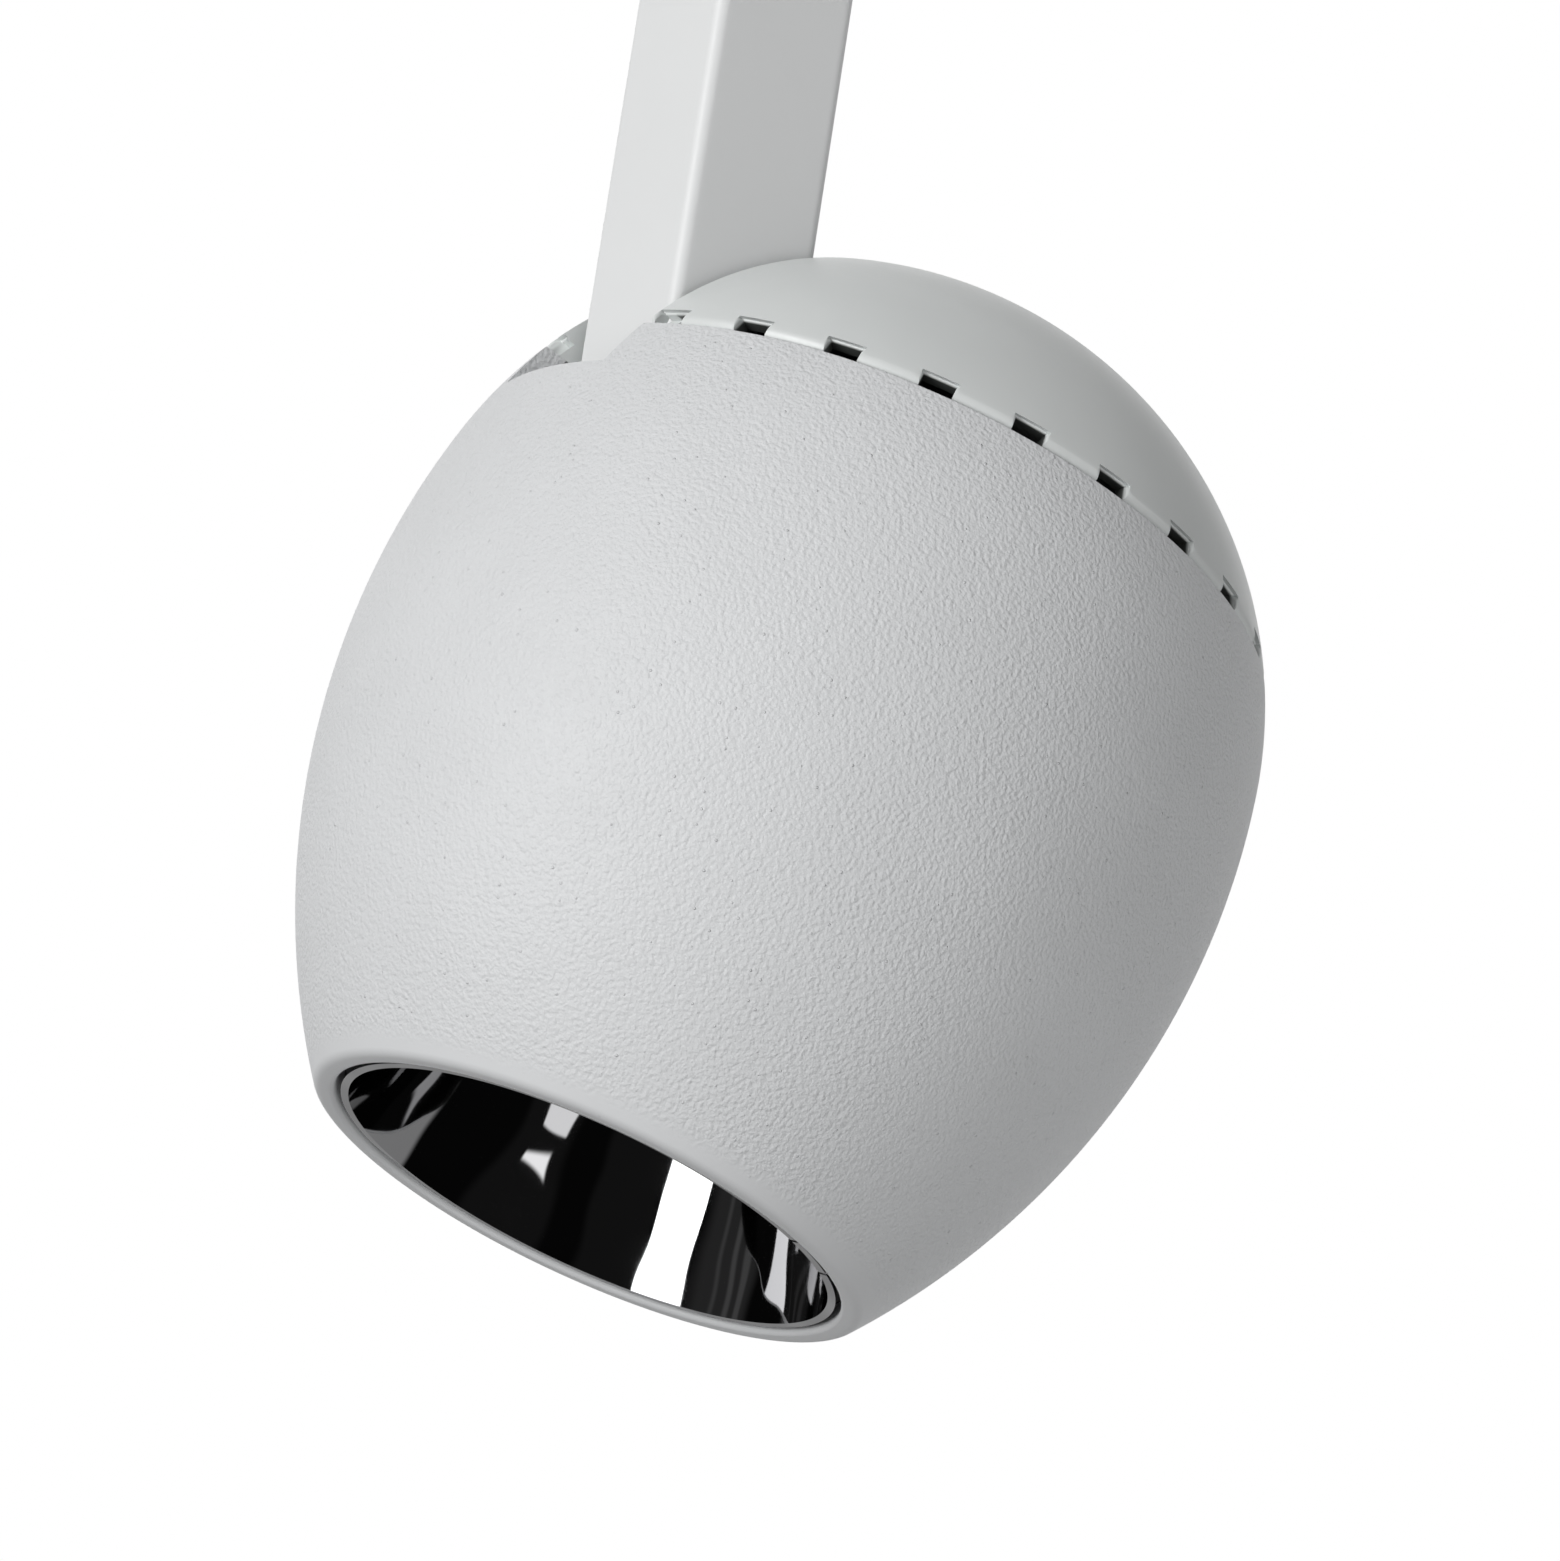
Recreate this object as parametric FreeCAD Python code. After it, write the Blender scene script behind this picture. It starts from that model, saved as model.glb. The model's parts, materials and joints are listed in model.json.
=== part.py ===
import FreeCAD, Part
import math
import os

os.makedirs("parts", exist_ok=True)

# Frame: millimetres, +Z up, origin at the middle of the ceiling face of the canopy.
# The tilt axis runs along X, and the arm hangs down the Z axis.

# Head outline: a spherical dome that runs tangent into a long flank arc
HEAD_RADIUS = 50.0
FLANK_RADIUS = 90.0
DOME_CENTRE_HEIGHT = 7.5
MOUTH_DEPTH = 54.7
LIP_WIDTH = 2.1
LIP_ROUND = 1.5
LIP_INNER_ROUND = 0.5
SHELL_WALL = 2.6
CAP_WALL = 2.2

# Seam between shell and cap, with the row of vents in the cap's rim
SEAM_HEIGHT = 27.2
RIM_ROUND = 1.1
VENT_COUNT = 26
VENT_TURN_DEGREES = 1.6
VENT_WIDTH = 3.8
VENT_HEIGHT = 2.2
HOOK_ANGLES = (90, 198, 342)
HOOK_ANGLE_WIDTH = 18
HOOK_DROP = 6.0
HOOK_WALL = 1.6
HOOK_RELIEF = 1.4

# Arm, slot and pivot
ARM_SIZE = 17.5
ARM_EDGE_ROUND = 1.3
ARM_WALL = 1.8
ARM_INNER_ROUND = 0.5
PIVOT_INSET = 18.0
PIVOT_ABOVE_SEAM = 2.6
PIVOT_DROP = 150.0
REST_TILT_DEGREES = 18.5
SLOT_SIDE_GAP = 0.8
SLOT_CHEEK_WALL = 1.4
SLOT_CHEEK_DEPTH = 4.6
BODY_GAP = 0.35
LUG_GAP = 1.2
LUG_THICKNESS = 2.5
LUG_RADIUS = 5.5
BRACKET_BASE = 2.5
BRACKET_DEPTH = 14.0
BRACKET_SCREW_RADIUS = 1.5
BRACKET_SCREW_SPREAD = 6.5
BRACKET_SCREW_LENGTH = 9.0
PIN_RADIUS = 2.5
PIN_HEAD_RADIUS = 4.0
PIN_HEAD_HEIGHT = 2.0
PIN_THREAD_RADIUS = 2.0
PIN_THREAD_LENGTH = 5.2
PIN_DRIVE_RADIUS = 1.4
BUSH_WALL = 1.0
RUNNING_FIT = 0.05
PART_FIT = 0.05
SKIN_FIT = 0.15
FRICTION_WASHER_RADIUS = 5.0
SPRING_WASHER_RADIUS = 4.2
SPRING_WASHER_HEIGHT = 1.0
SPRING_WASHER_WALL = 0.5
PIVOT_NUT_FLATS = 7.0
PIVOT_NUT_HEIGHT = 3.2
INSERT_REACH = 24.0
INSERT_PIN_RADIUS = 1.25
INSERT_PIN_RISE = 7.2
WIRE_CHANNEL_WIDTH = 5.0
WIRE_CHANNEL_DEPTH = 2.4

# Optics and cooling inside the head
REFLECTOR_GAP = 0.7
REFLECTOR_WALL = 0.9
REFLECTOR_RECESS = 0.5
REFLECTOR_NECK_RADIUS = 9.0
RING_HEIGHT = 3.0
RING_WALL = 1.6
LED_PLANE_DEPTH = 10.0
THERMAL_PAD_SIZE = 21.0
THERMAL_PAD_HEIGHT = 0.5
LED_BOARD_SIZE = 19.0
LED_BOARD_HEIGHT = 1.5
LED_DISC_RADIUS = 7.2
LED_DISC_HEIGHT = 0.8
HOLDER_RADIUS = 22.0
HOLDER_HEIGHT = 5.0
HOLDER_COVER = 1.6
HOLDER_SCREW_CIRCLE = 17.5
HOLDER_SCREW_RADIUS = 1.5
HOLDER_SCREW_REACH = 3.0
SINK_PLATE = 4.0
SINK_EDGE_GAP = 0.6
FIN_COUNT = 24
FIN_THICKNESS = 1.6
FIN_HEIGHT = 22.0
FIN_CORE_RADIUS = 11.0
FIN_SLOPE = 8.0
PAD_DEPTH = 14.0
BOSS_ANGLES = (90, 210, 330)
BOSS_CIRCLE_INSET = 4.6
BOSS_RADIUS = 3.4
BOSS_LENGTH = 18.0
BOSS_RIB = 2.0
SINK_SCREW_RADIUS = 1.5
SINK_SCREW_LENGTH = 12.0
SCREW_HEAD_SHARE = 1.9
SCREW_HEAD_HEIGHT_SHARE = 1.2
SCREW_DRIVE_SHARE = 0.9

# Swivel between arm and canopy
SWIVEL_PLATE_RADIUS = 17.0
SWIVEL_PLATE_HEIGHT = 5.0
SWIVEL_PLATE_ROUND = 1.5
TOP_INSERT_LENGTH = 18.0
STEM_RADIUS = 5.0
STEM_BORE = 3.2
STEM_BUSH_WALL = 1.5
STEM_BUSH_FLANGE = 9.0
STEM_BUSH_FLANGE_HEIGHT = 1.0
STOP_WASHER_RADIUS = 9.0
STOP_WASHER_HEIGHT = 1.4
STOP_TAB_REACH = 15.5
STOP_TAB_WIDTH = 3.0
STOP_PEG_CIRCLE = 13.5
STOP_PEG_RADIUS = 1.5
STOP_PEG_HEIGHT = 5.0
SWIVEL_SPRING_HEIGHT = 1.6
SWIVEL_SPRING_WALL = 0.8
SWIVEL_NUT_FLATS = 15.0
SWIVEL_NUT_HEIGHT = 4.5
STEM_THREAD_END = 1.5
TOP_SCREW_RADIUS = 1.2
TOP_SCREW_LENGTH = 12.0

# Canopy on the ceiling
CANOPY_RADIUS = 60.0
CANOPY_HEIGHT = 36.0
CANOPY_WALL = 2.0
CANOPY_ROUND = 5.0
PLATE_THICKNESS = 1.6
PLATE_EDGE_GAP = 0.3
PLATE_FLANGE = 11.0
PLATE_SLOT_SPACING = 80.0
PLATE_SLOT_WIDTH = 4.6
PLATE_SLOT_LENGTH = 14.0
GROMMET_HOLE_RADIUS = 9.0
GROMMET_LIP = 1.5
GROMMET_LIP_HEIGHT = 1.2
GROMMET_SLEEVE = 2.0
GROMMET_BORE = 5.0
COVER_SCREW_ANGLES = (30, 150, 270)
COVER_SCREW_RADIUS = 1.5
COVER_SCREW_LENGTH = 6.0
COVER_SCREW_DROP = 7.0
COVER_SCREW_SINK = 1.0
DRIVER_LENGTH = 62.0
DRIVER_WIDTH = 30.0
DRIVER_HEIGHT = 21.0
DRIVER_OFFSET = 31.0
DRIVER_ROUND = 2.0
DRIVER_EAR = 7.0
DRIVER_EAR_HEIGHT = 2.0
DRIVER_SCREW_RADIUS = 1.5
DRIVER_PORT_WIDTH = 8.0
DRIVER_PORT_HEIGHT = 5.0
DRIVER_PORT_DEPTH = 2.5
TERMINAL_POLES = 3
TERMINAL_PITCH = 9.0
TERMINAL_DEPTH = 17.0
TERMINAL_HEIGHT = 13.0
TERMINAL_OFFSET = 31.0
TERMINAL_WIRE_RADIUS = 2.0
TERMINAL_SCREW_RADIUS = 1.6
TERMINAL_SCREW_LENGTH = 4.0
TERMINAL_TOWER_GAP = 1.2
EARTH_SCREW_PLACE = (33.0, -26.0)
EARTH_SCREW_RADIUS = 2.0
OVERRUN = 1.0

V = FreeCAD.Vector
UP = V(0, 0, 1)
ALONG_X = V(1, 0, 0)

# Sizes that follow from the driving ones
FLANK_OFFSET = FLANK_RADIUS - HEAD_RADIUS
DOME_RADIUS = FLANK_RADIUS - math.hypot(FLANK_OFFSET, DOME_CENTRE_HEIGHT)
TANGENT_ANGLE = math.atan2(DOME_CENTRE_HEIGHT, FLANK_OFFSET)
PIVOT_HEIGHT = SEAM_HEIGHT + PIVOT_ABOVE_SEAM
PIVOT_OFFSET = HEAD_RADIUS - PIVOT_INSET
HALF_ARM = ARM_SIZE / 2
HALF_SLOT = HALF_ARM + SLOT_SIDE_GAP
LUG_INNER = HALF_ARM + LUG_GAP
LUG_OUTER = LUG_INNER + LUG_THICKNESS
SLOT_FLOOR = PIVOT_OFFSET - HALF_ARM - BODY_GAP
NOTCH_HEIGHT = PIVOT_HEIGHT - HALF_ARM - BODY_GAP
SINK_TOP = SINK_PLATE + FIN_HEIGHT - LED_PLANE_DEPTH
BUSH_RADIUS = PIN_RADIUS + RUNNING_FIT + BUSH_WALL
ARM_TOP = -(CANOPY_HEIGHT + BODY_GAP + SWIVEL_PLATE_HEIGHT)
FLOOR_TOP = CANOPY_WALL - CANOPY_HEIGHT
STOP_WASHER_BASE = FLOOR_TOP + STEM_BUSH_FLANGE_HEIGHT + BODY_GAP
SWIVEL_SPRING_BASE = STOP_WASHER_BASE + STOP_WASHER_HEIGHT
SWIVEL_NUT_BASE = SWIVEL_SPRING_BASE + SWIVEL_SPRING_HEIGHT
STEM_TOP = SWIVEL_NUT_BASE + SWIVEL_NUT_HEIGHT + STEM_THREAD_END
INNER_ARM = ARM_SIZE - 2 * ARM_WALL
INSERT_SIZE = INNER_ARM - 2 * PART_FIT
RIB_INSET = (CAP_WALL + RIM_ROUND) / 2
PLATE_RADIUS = CANOPY_RADIUS - CANOPY_WALL - PLATE_EDGE_GAP


def outline_radius(height, inset):
    """Radius of the head's outline at a height above the equator, moved in by the inset."""
    tangent_height = (FLANK_RADIUS - inset) * math.sin(TANGENT_ANGLE)
    if height > tangent_height:
        rise = height - DOME_CENTRE_HEIGHT
        return math.sqrt((DOME_RADIUS - inset) ** 2 - rise ** 2)
    return math.sqrt((FLANK_RADIUS - inset) ** 2 - height ** 2) - FLANK_OFFSET


MOUTH_OUTER = outline_radius(-MOUTH_DEPTH, 0)
MOUTH_RADIUS = MOUTH_OUTER - LIP_WIDTH
REFLECTOR_RADIUS = MOUTH_RADIUS - REFLECTOR_GAP
REAR_OPENING = outline_radius(SEAM_HEIGHT, SHELL_WALL)
SINK_RADIUS = REAR_OPENING - SINK_EDGE_GAP
BOSS_CIRCLE = SINK_RADIUS - BOSS_CIRCLE_INSET
PAD_TOP = min(SINK_TOP, NOTCH_HEIGHT - BRACKET_BASE - BODY_GAP - OVERRUN)
REFLECTOR_MOUTH = REFLECTOR_RECESS - MOUTH_DEPTH
REFLECTOR_TOP = -(LED_PLANE_DEPTH + HOLDER_HEIGHT)


def box(x_range, y_range, z_range):
    """Box between two ends on each axis."""
    size = [high - low for low, high in (x_range, y_range, z_range)]
    return Part.makeBox(*size, V(x_range[0], y_range[0], z_range[0]))


def rod(radius, bottom, top, x=0, y=0):
    """Upright cylinder."""
    return Part.makeCylinder(radius, top - bottom, V(x, y, bottom), UP)


def cross_rod(radius, start, end, y=0, z=0):
    """Cylinder along X."""
    return Part.makeCylinder(radius, end - start, V(start, y, z), ALONG_X)


def ring(outer, inner, bottom, top, x=0, y=0):
    """Upright tube."""
    return rod(outer, bottom, top, x, y).cut(rod(inner, bottom - OVERRUN, top + OVERRUN, x, y))


def cross_ring(outer, inner, start, end, y=0, z=0):
    """Tube along X."""
    return cross_rod(outer, start, end, y, z).cut(cross_rod(inner, start - OVERRUN, end + OVERRUN, y, z))


def turned(points):
    """Solid turned about Z from a closed outline of radius and height pairs."""
    corners = [V(radius, 0, height) for radius, height in points]
    face = Part.Face(Part.makePolygon(corners + corners[:1]))
    return face.revolve(V(0, 0, 0), UP, 360)


def nut(flats, inner, bottom, top):
    """Hexagon nut about Z."""
    reach = flats / math.sqrt(3)
    corners = [V(reach * math.cos(math.radians(60 * k)), reach * math.sin(math.radians(60 * k)), bottom)
               for k in range(7)]
    prism = Part.Face(Part.makePolygon(corners)).extrude(UP * (top - bottom))
    return prism.cut(rod(inner, bottom - OVERRUN, top + OVERRUN))


def spring_washer(outer, inner, height, wall, base):
    """Dished washer about Z, resting on its outer edge."""
    top = base + height
    return turned([(outer, base), (outer, base + wall), (inner, top), (inner, top - wall)])


def screw(radius, length):
    """Pan head screw that points down, with its seat at the origin and a hexagon recess."""
    head = radius * SCREW_HEAD_SHARE
    height = radius * SCREW_HEAD_HEIGHT_SHARE
    crown = radius + (head - radius) / 2
    body = turned([(0, -length), (radius, -length), (radius, 0), (head, 0), (head, height / 2),
                   (crown, height), (0, height)])
    return body.cut(screw_drive(radius, height / 2, height + OVERRUN))


def screw_drive(radius, bottom, top):
    """Hexagon recess for a driver bit."""
    flats = radius * SCREW_DRIVE_SHARE * math.sqrt(3)
    return nut(flats, radius / 3, bottom, top).fuse(rod(radius / 3, bottom, top))


def sunk_screw(radius, length):
    """Countersunk screw that points down, with its top face at the origin."""
    head = radius * SCREW_HEAD_SHARE
    cone = turned([(0, 0), (head, 0), (radius, radius - head), (0, radius - head)])
    return cone.fuse(rod(radius, -length, -radius / 2)).cut(screw_drive(radius, -radius / 2, OVERRUN))


def sunk_hole(radius, length):
    """Room for a countersunk screw, open at its top."""
    hole = radius + PART_FIT
    head = radius * SCREW_HEAD_SHARE + PART_FIT
    cone = turned([(0, OVERRUN), (head, OVERRUN), (head, 0), (hole, hole - head), (0, hole - head)])
    return cone.fuse(rod(hole, -length - PART_FIT, 0))


def turn(shape, degrees):
    """Copy of a shape turned about Z."""
    copy = shape.copy()
    copy.rotate(V(0, 0, 0), UP, degrees)
    return copy


def moved(shape, x, y, z):
    """Copy of a shape moved to a place."""
    copy = shape.copy()
    copy.translate(V(x, y, z))
    return copy


def flipped(shape):
    """Copy of a shape turned upside down about X."""
    copy = shape.copy()
    copy.rotate(V(0, 0, 0), ALONG_X, 180)
    return copy


def laid(shape):
    """Copy of a shape about Z laid so that its +Z points along -X."""
    copy = shape.copy()
    copy.rotate(V(0, 0, 0), V(0, 1, 0), -90)
    return copy


def around(shape, angles):
    """One copy of a shape at each angle about Z."""
    return [turn(shape, angle) for angle in angles]


def joined(first, others):
    """Fuse a shape with the others into one clean solid."""
    return first.multiFuse(others).removeSplitter()


def egg(inset, bottom):
    """Solid inside the head's outline, moved in by the inset and cut flat at the bottom."""
    flank = FLANK_RADIUS - inset
    dome = DOME_RADIUS - inset
    low_angle = math.asin(bottom / flank)
    mid_flank = (low_angle + TANGENT_ANGLE) / 2
    mid_dome = (TANGENT_ANGLE + math.pi / 2) / 2

    def on_flank(angle):
        return V(flank * math.cos(angle) - FLANK_OFFSET, 0, flank * math.sin(angle))

    def on_dome(angle):
        return V(dome * math.cos(angle), 0, dome * math.sin(angle) + DOME_CENTRE_HEIGHT)

    pole = V(0, 0, DOME_CENTRE_HEIGHT + dome)
    foot = V(0, 0, bottom)
    edges = [
        Part.makeLine(foot, on_flank(low_angle)),
        Part.Arc(on_flank(low_angle), on_flank(mid_flank), on_flank(TANGENT_ANGLE)).toShape(),
        Part.Arc(on_dome(TANGENT_ANGLE), on_dome(mid_dome), pole).toShape(),
        Part.makeLine(pole, foot),
    ]
    return Part.Face(Part.Wire(edges)).revolve(V(0, 0, 0), UP, 360)


def in_head(shape):
    """Place a piece of the head: its own frame hangs from the pivot at the rest tilt."""
    placed = moved(shape, 0, PIVOT_OFFSET, -PIVOT_HEIGHT)
    placed.rotate(V(0, 0, 0), ALONG_X, -REST_TILT_DEGREES)
    placed.translate(V(0, 0, -PIVOT_DROP))
    return placed


def arm_slot(bottom):
    """Room that the arm sweeps through, open at the back and on the arm's side."""
    return box((-HALF_SLOT, HALF_SLOT), (-HEAD_RADIUS - OVERRUN, -SLOT_FLOOR), (bottom, 2 * HEAD_RADIUS))


def shell_boss():
    """Screw boss with a rib to the shell's wall, on the X axis."""
    top = -LED_PLANE_DEPTH
    post = rod(BOSS_RADIUS, top - BOSS_LENGTH, top, BOSS_CIRCLE)
    rib = box((BOSS_CIRCLE, HEAD_RADIUS), (-BOSS_RIB / 2, BOSS_RIB / 2), (top - BOSS_LENGTH, top - BOSS_RIB))
    return post.fuse(rib).common(egg(SHELL_WALL / 2, -MOUTH_DEPTH))


def front_shell():
    """Cast front shell: thin egg wall, rolled lip round the mouth, notch for the arm."""
    blank = egg(0, -MOUTH_DEPTH).common(rod(2 * HEAD_RADIUS, -MOUTH_DEPTH - OVERRUN, SEAM_HEIGHT))
    lip = [edge for edge in blank.Edges if edge.BoundBox.ZMax < OVERRUN / 2 - MOUTH_DEPTH]
    blank = blank.makeFillet(LIP_ROUND, [edge for edge in lip if edge.BoundBox.XMax > MOUTH_RADIUS])
    hollow = egg(SHELL_WALL, -MOUTH_DEPTH - OVERRUN)
    bore = rod(MOUTH_RADIUS, -MOUTH_DEPTH - OVERRUN, RING_HEIGHT - MOUTH_DEPTH)
    shell = blank.cut(hollow).cut(bore)
    rim = [edge for edge in shell.Edges
           if edge.BoundBox.ZMax < OVERRUN / 2 - MOUTH_DEPTH
           and abs(edge.BoundBox.XMax - MOUTH_RADIUS) < PART_FIT]
    shell = shell.makeFillet(LIP_INNER_ROUND, rim)
    shell = joined(shell, around(shell_boss(), BOSS_ANGLES))
    pilot = rod(SINK_SCREW_RADIUS + PART_FIT, -LED_PLANE_DEPTH - SINK_SCREW_LENGTH,
                OVERRUN - LED_PLANE_DEPTH, BOSS_CIRCLE)
    for hole in around(pilot, BOSS_ANGLES):
        shell = shell.cut(hole)
    return shell.cut(arm_slot(NOTCH_HEIGHT))


def cap_hook():
    """Snap tongue on the X axis that follows the inside of the shell below the seam."""
    inset = SHELL_WALL + SKIN_FIT
    skin = egg(inset, -MOUTH_DEPTH).cut(egg(inset + HOOK_WALL, -MOUTH_DEPTH - OVERRUN))
    band = skin.common(rod(2 * HEAD_RADIUS, SEAM_HEIGHT - HOOK_DROP, SEAM_HEIGHT + HOOK_RELIEF))
    width = HEAD_RADIUS * math.radians(HOOK_ANGLE_WIDTH) / 2
    return band.common(box((0, 2 * HEAD_RADIUS), (-width, width), (-HEAD_RADIUS, 2 * HEAD_RADIUS)))


def slot_cheeks():
    """Lining of the slot's edge inside the dome, kept clear of the pivot's lugs."""
    lining = egg(RIB_INSET, -MOUTH_DEPTH).cut(egg(SLOT_CHEEK_DEPTH, -MOUTH_DEPTH - OVERRUN))
    reach = HALF_SLOT + SLOT_CHEEK_WALL
    lining = lining.common(box((-reach, reach), (-HEAD_RADIUS, SLOT_CHEEK_WALL - SLOT_FLOOR),
                               (SEAM_HEIGHT, 2 * HEAD_RADIUS)))
    return lining.cut(cross_rod(LUG_RADIUS + BODY_GAP, -reach - OVERRUN, reach + OVERRUN,
                                -PIVOT_OFFSET, PIVOT_HEIGHT))


def rear_cap():
    """Moulded dome: rounded rim, castellated vents round the seam, lined slot for the arm."""
    blank = egg(0, -MOUTH_DEPTH).common(rod(2 * HEAD_RADIUS, SEAM_HEIGHT, 2 * HEAD_RADIUS))
    rim = [edge for edge in blank.Edges if edge.BoundBox.ZMax < SEAM_HEIGHT + OVERRUN / 2]
    blank = blank.makeFillet(RIM_ROUND, rim).cut(egg(CAP_WALL, -MOUTH_DEPTH))
    collar = egg(RIB_INSET, -MOUTH_DEPTH).cut(egg(SHELL_WALL + SKIN_FIT + HOOK_WALL, -MOUTH_DEPTH))
    collar = collar.common(rod(2 * HEAD_RADIUS, SEAM_HEIGHT, SEAM_HEIGHT + HOOK_RELIEF + OVERRUN))
    tongue = cap_hook()
    width = HEAD_RADIUS * math.radians(HOOK_ANGLE_WIDTH) / 2
    root = collar.common(box((0, 2 * HEAD_RADIUS), (-width, width), (0, 2 * HEAD_RADIUS)))
    cap = joined(blank, around(tongue, HOOK_ANGLES) + around(root, HOOK_ANGLES))
    depth = outline_radius(SEAM_HEIGHT, 2 * CAP_WALL)
    vent = box((depth, 2 * HEAD_RADIUS), (-VENT_WIDTH / 2, VENT_WIDTH / 2),
               (SEAM_HEIGHT - OVERRUN, SEAM_HEIGHT + VENT_HEIGHT))
    pitch = 360 / VENT_COUNT
    for k in range(VENT_COUNT):
        cap = cap.cut(turn(vent, k * pitch - 90 + VENT_TURN_DEGREES))
    cap = joined(cap, [slot_cheeks()])
    return cap.cut(arm_slot(SEAM_HEIGHT - HOOK_DROP - OVERRUN))


def reflector_face(extra, bottom, top):
    """Half section of the space inside the reflector, widened by the extra wall."""
    neck = REFLECTOR_NECK_RADIUS
    mouth = REFLECTOR_RADIUS - REFLECTOR_WALL
    middle = math.sqrt((neck ** 2 + mouth ** 2) / 2)
    half_height = (REFLECTOR_MOUTH + REFLECTOR_TOP) / 2
    curve = Part.Arc(V(mouth + extra, 0, REFLECTOR_MOUTH), V(middle + extra, 0, half_height),
                     V(neck + extra, 0, REFLECTOR_TOP)).toShape()
    edges = [curve]
    corners = [V(neck + extra, 0, REFLECTOR_TOP), V(neck + extra, 0, top), V(0, 0, top), V(0, 0, bottom),
               V(mouth + extra, 0, bottom), V(mouth + extra, 0, REFLECTOR_MOUTH)]
    for start, end in zip(corners, corners[1:]):
        if (start - end).Length > PART_FIT / 2:
            edges.append(Part.makeLine(start, end))
    return Part.Face(Part.Wire(Part.__sortEdges__(edges)))


def reflector():
    """Spun reflector bowl with an open neck over the light source."""
    outside = reflector_face(REFLECTOR_WALL, REFLECTOR_MOUTH, REFLECTOR_TOP)
    inside = reflector_face(0, REFLECTOR_MOUTH - OVERRUN, REFLECTOR_TOP + OVERRUN)
    return outside.revolve(V(0, 0, 0), UP, 360).cut(inside.revolve(V(0, 0, 0), UP, 360))


def reflector_ring():
    """Dark ring behind the lip that centres the reflector's mouth."""
    low = RING_HEIGHT - MOUTH_DEPTH
    high = low + RING_HEIGHT
    band = ring(2 * HEAD_RADIUS, REFLECTOR_RADIUS, low, high)
    skin = egg(SHELL_WALL + SKIN_FIT, -MOUTH_DEPTH)
    bowl = reflector_face(REFLECTOR_WALL + PART_FIT, REFLECTOR_MOUTH - OVERRUN, REFLECTOR_TOP + OVERRUN)
    return band.fuse(rod(REFLECTOR_RADIUS, low, high)).common(skin).cut(bowl.revolve(V(0, 0, 0), UP, 360))


def thermal_pad():
    """Thin pad between the light source and the heat sink."""
    half = THERMAL_PAD_SIZE / 2
    return box((-half, half), (-half, half), (-LED_PLANE_DEPTH - THERMAL_PAD_HEIGHT, -LED_PLANE_DEPTH))


def led_board():
    """Square carrier of the light source."""
    half = LED_BOARD_SIZE / 2
    top = -LED_PLANE_DEPTH - THERMAL_PAD_HEIGHT
    return box((-half, half), (-half, half), (top - LED_BOARD_HEIGHT, top))


def led_disc():
    """Round emitting surface on the carrier."""
    top = -LED_PLANE_DEPTH - THERMAL_PAD_HEIGHT - LED_BOARD_HEIGHT
    return rod(LED_DISC_RADIUS, top - LED_DISC_HEIGHT, top)


def led_holder():
    """Moulded holder that clamps the carrier and carries the reflector's neck."""
    top = -LED_PLANE_DEPTH
    body = rod(HOLDER_RADIUS, top - HOLDER_HEIGHT, top)
    half = THERMAL_PAD_SIZE / 2 + PART_FIT
    clamp = top - THERMAL_PAD_HEIGHT - LED_BOARD_HEIGHT - PART_FIT
    body = body.cut(box((-half, half), (-half, half), (clamp, top + OVERRUN)))
    low = top - HOLDER_HEIGHT
    window = LED_DISC_RADIUS + PART_FIT
    light = turned([(0, clamp + OVERRUN), (window, clamp + OVERRUN), (window, clamp),
                    (REFLECTOR_NECK_RADIUS, low), (REFLECTOR_NECK_RADIUS, low - OVERRUN), (0, low - OVERRUN)])
    body = body.cut(light)
    for side in (-1, 1):
        x = side * HOLDER_SCREW_CIRCLE
        body = body.cut(rod(HOLDER_SCREW_RADIUS + PART_FIT, top - HOLDER_HEIGHT - OVERRUN, top + OVERRUN, x))
        head = HOLDER_SCREW_RADIUS * SCREW_HEAD_SHARE + PART_FIT
        body = body.cut(rod(head, top - HOLDER_HEIGHT - OVERRUN, top - HOLDER_COVER, x))
    return body


def holder_screws():
    """Two screws that fasten the holder to the heat sink."""
    seat = -LED_PLANE_DEPTH - HOLDER_COVER
    one = flipped(screw(HOLDER_SCREW_RADIUS, HOLDER_COVER + HOLDER_SCREW_REACH))
    return Part.makeCompound([moved(one, side * HOLDER_SCREW_CIRCLE, 0, seat) for side in (-1, 1)])


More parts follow.
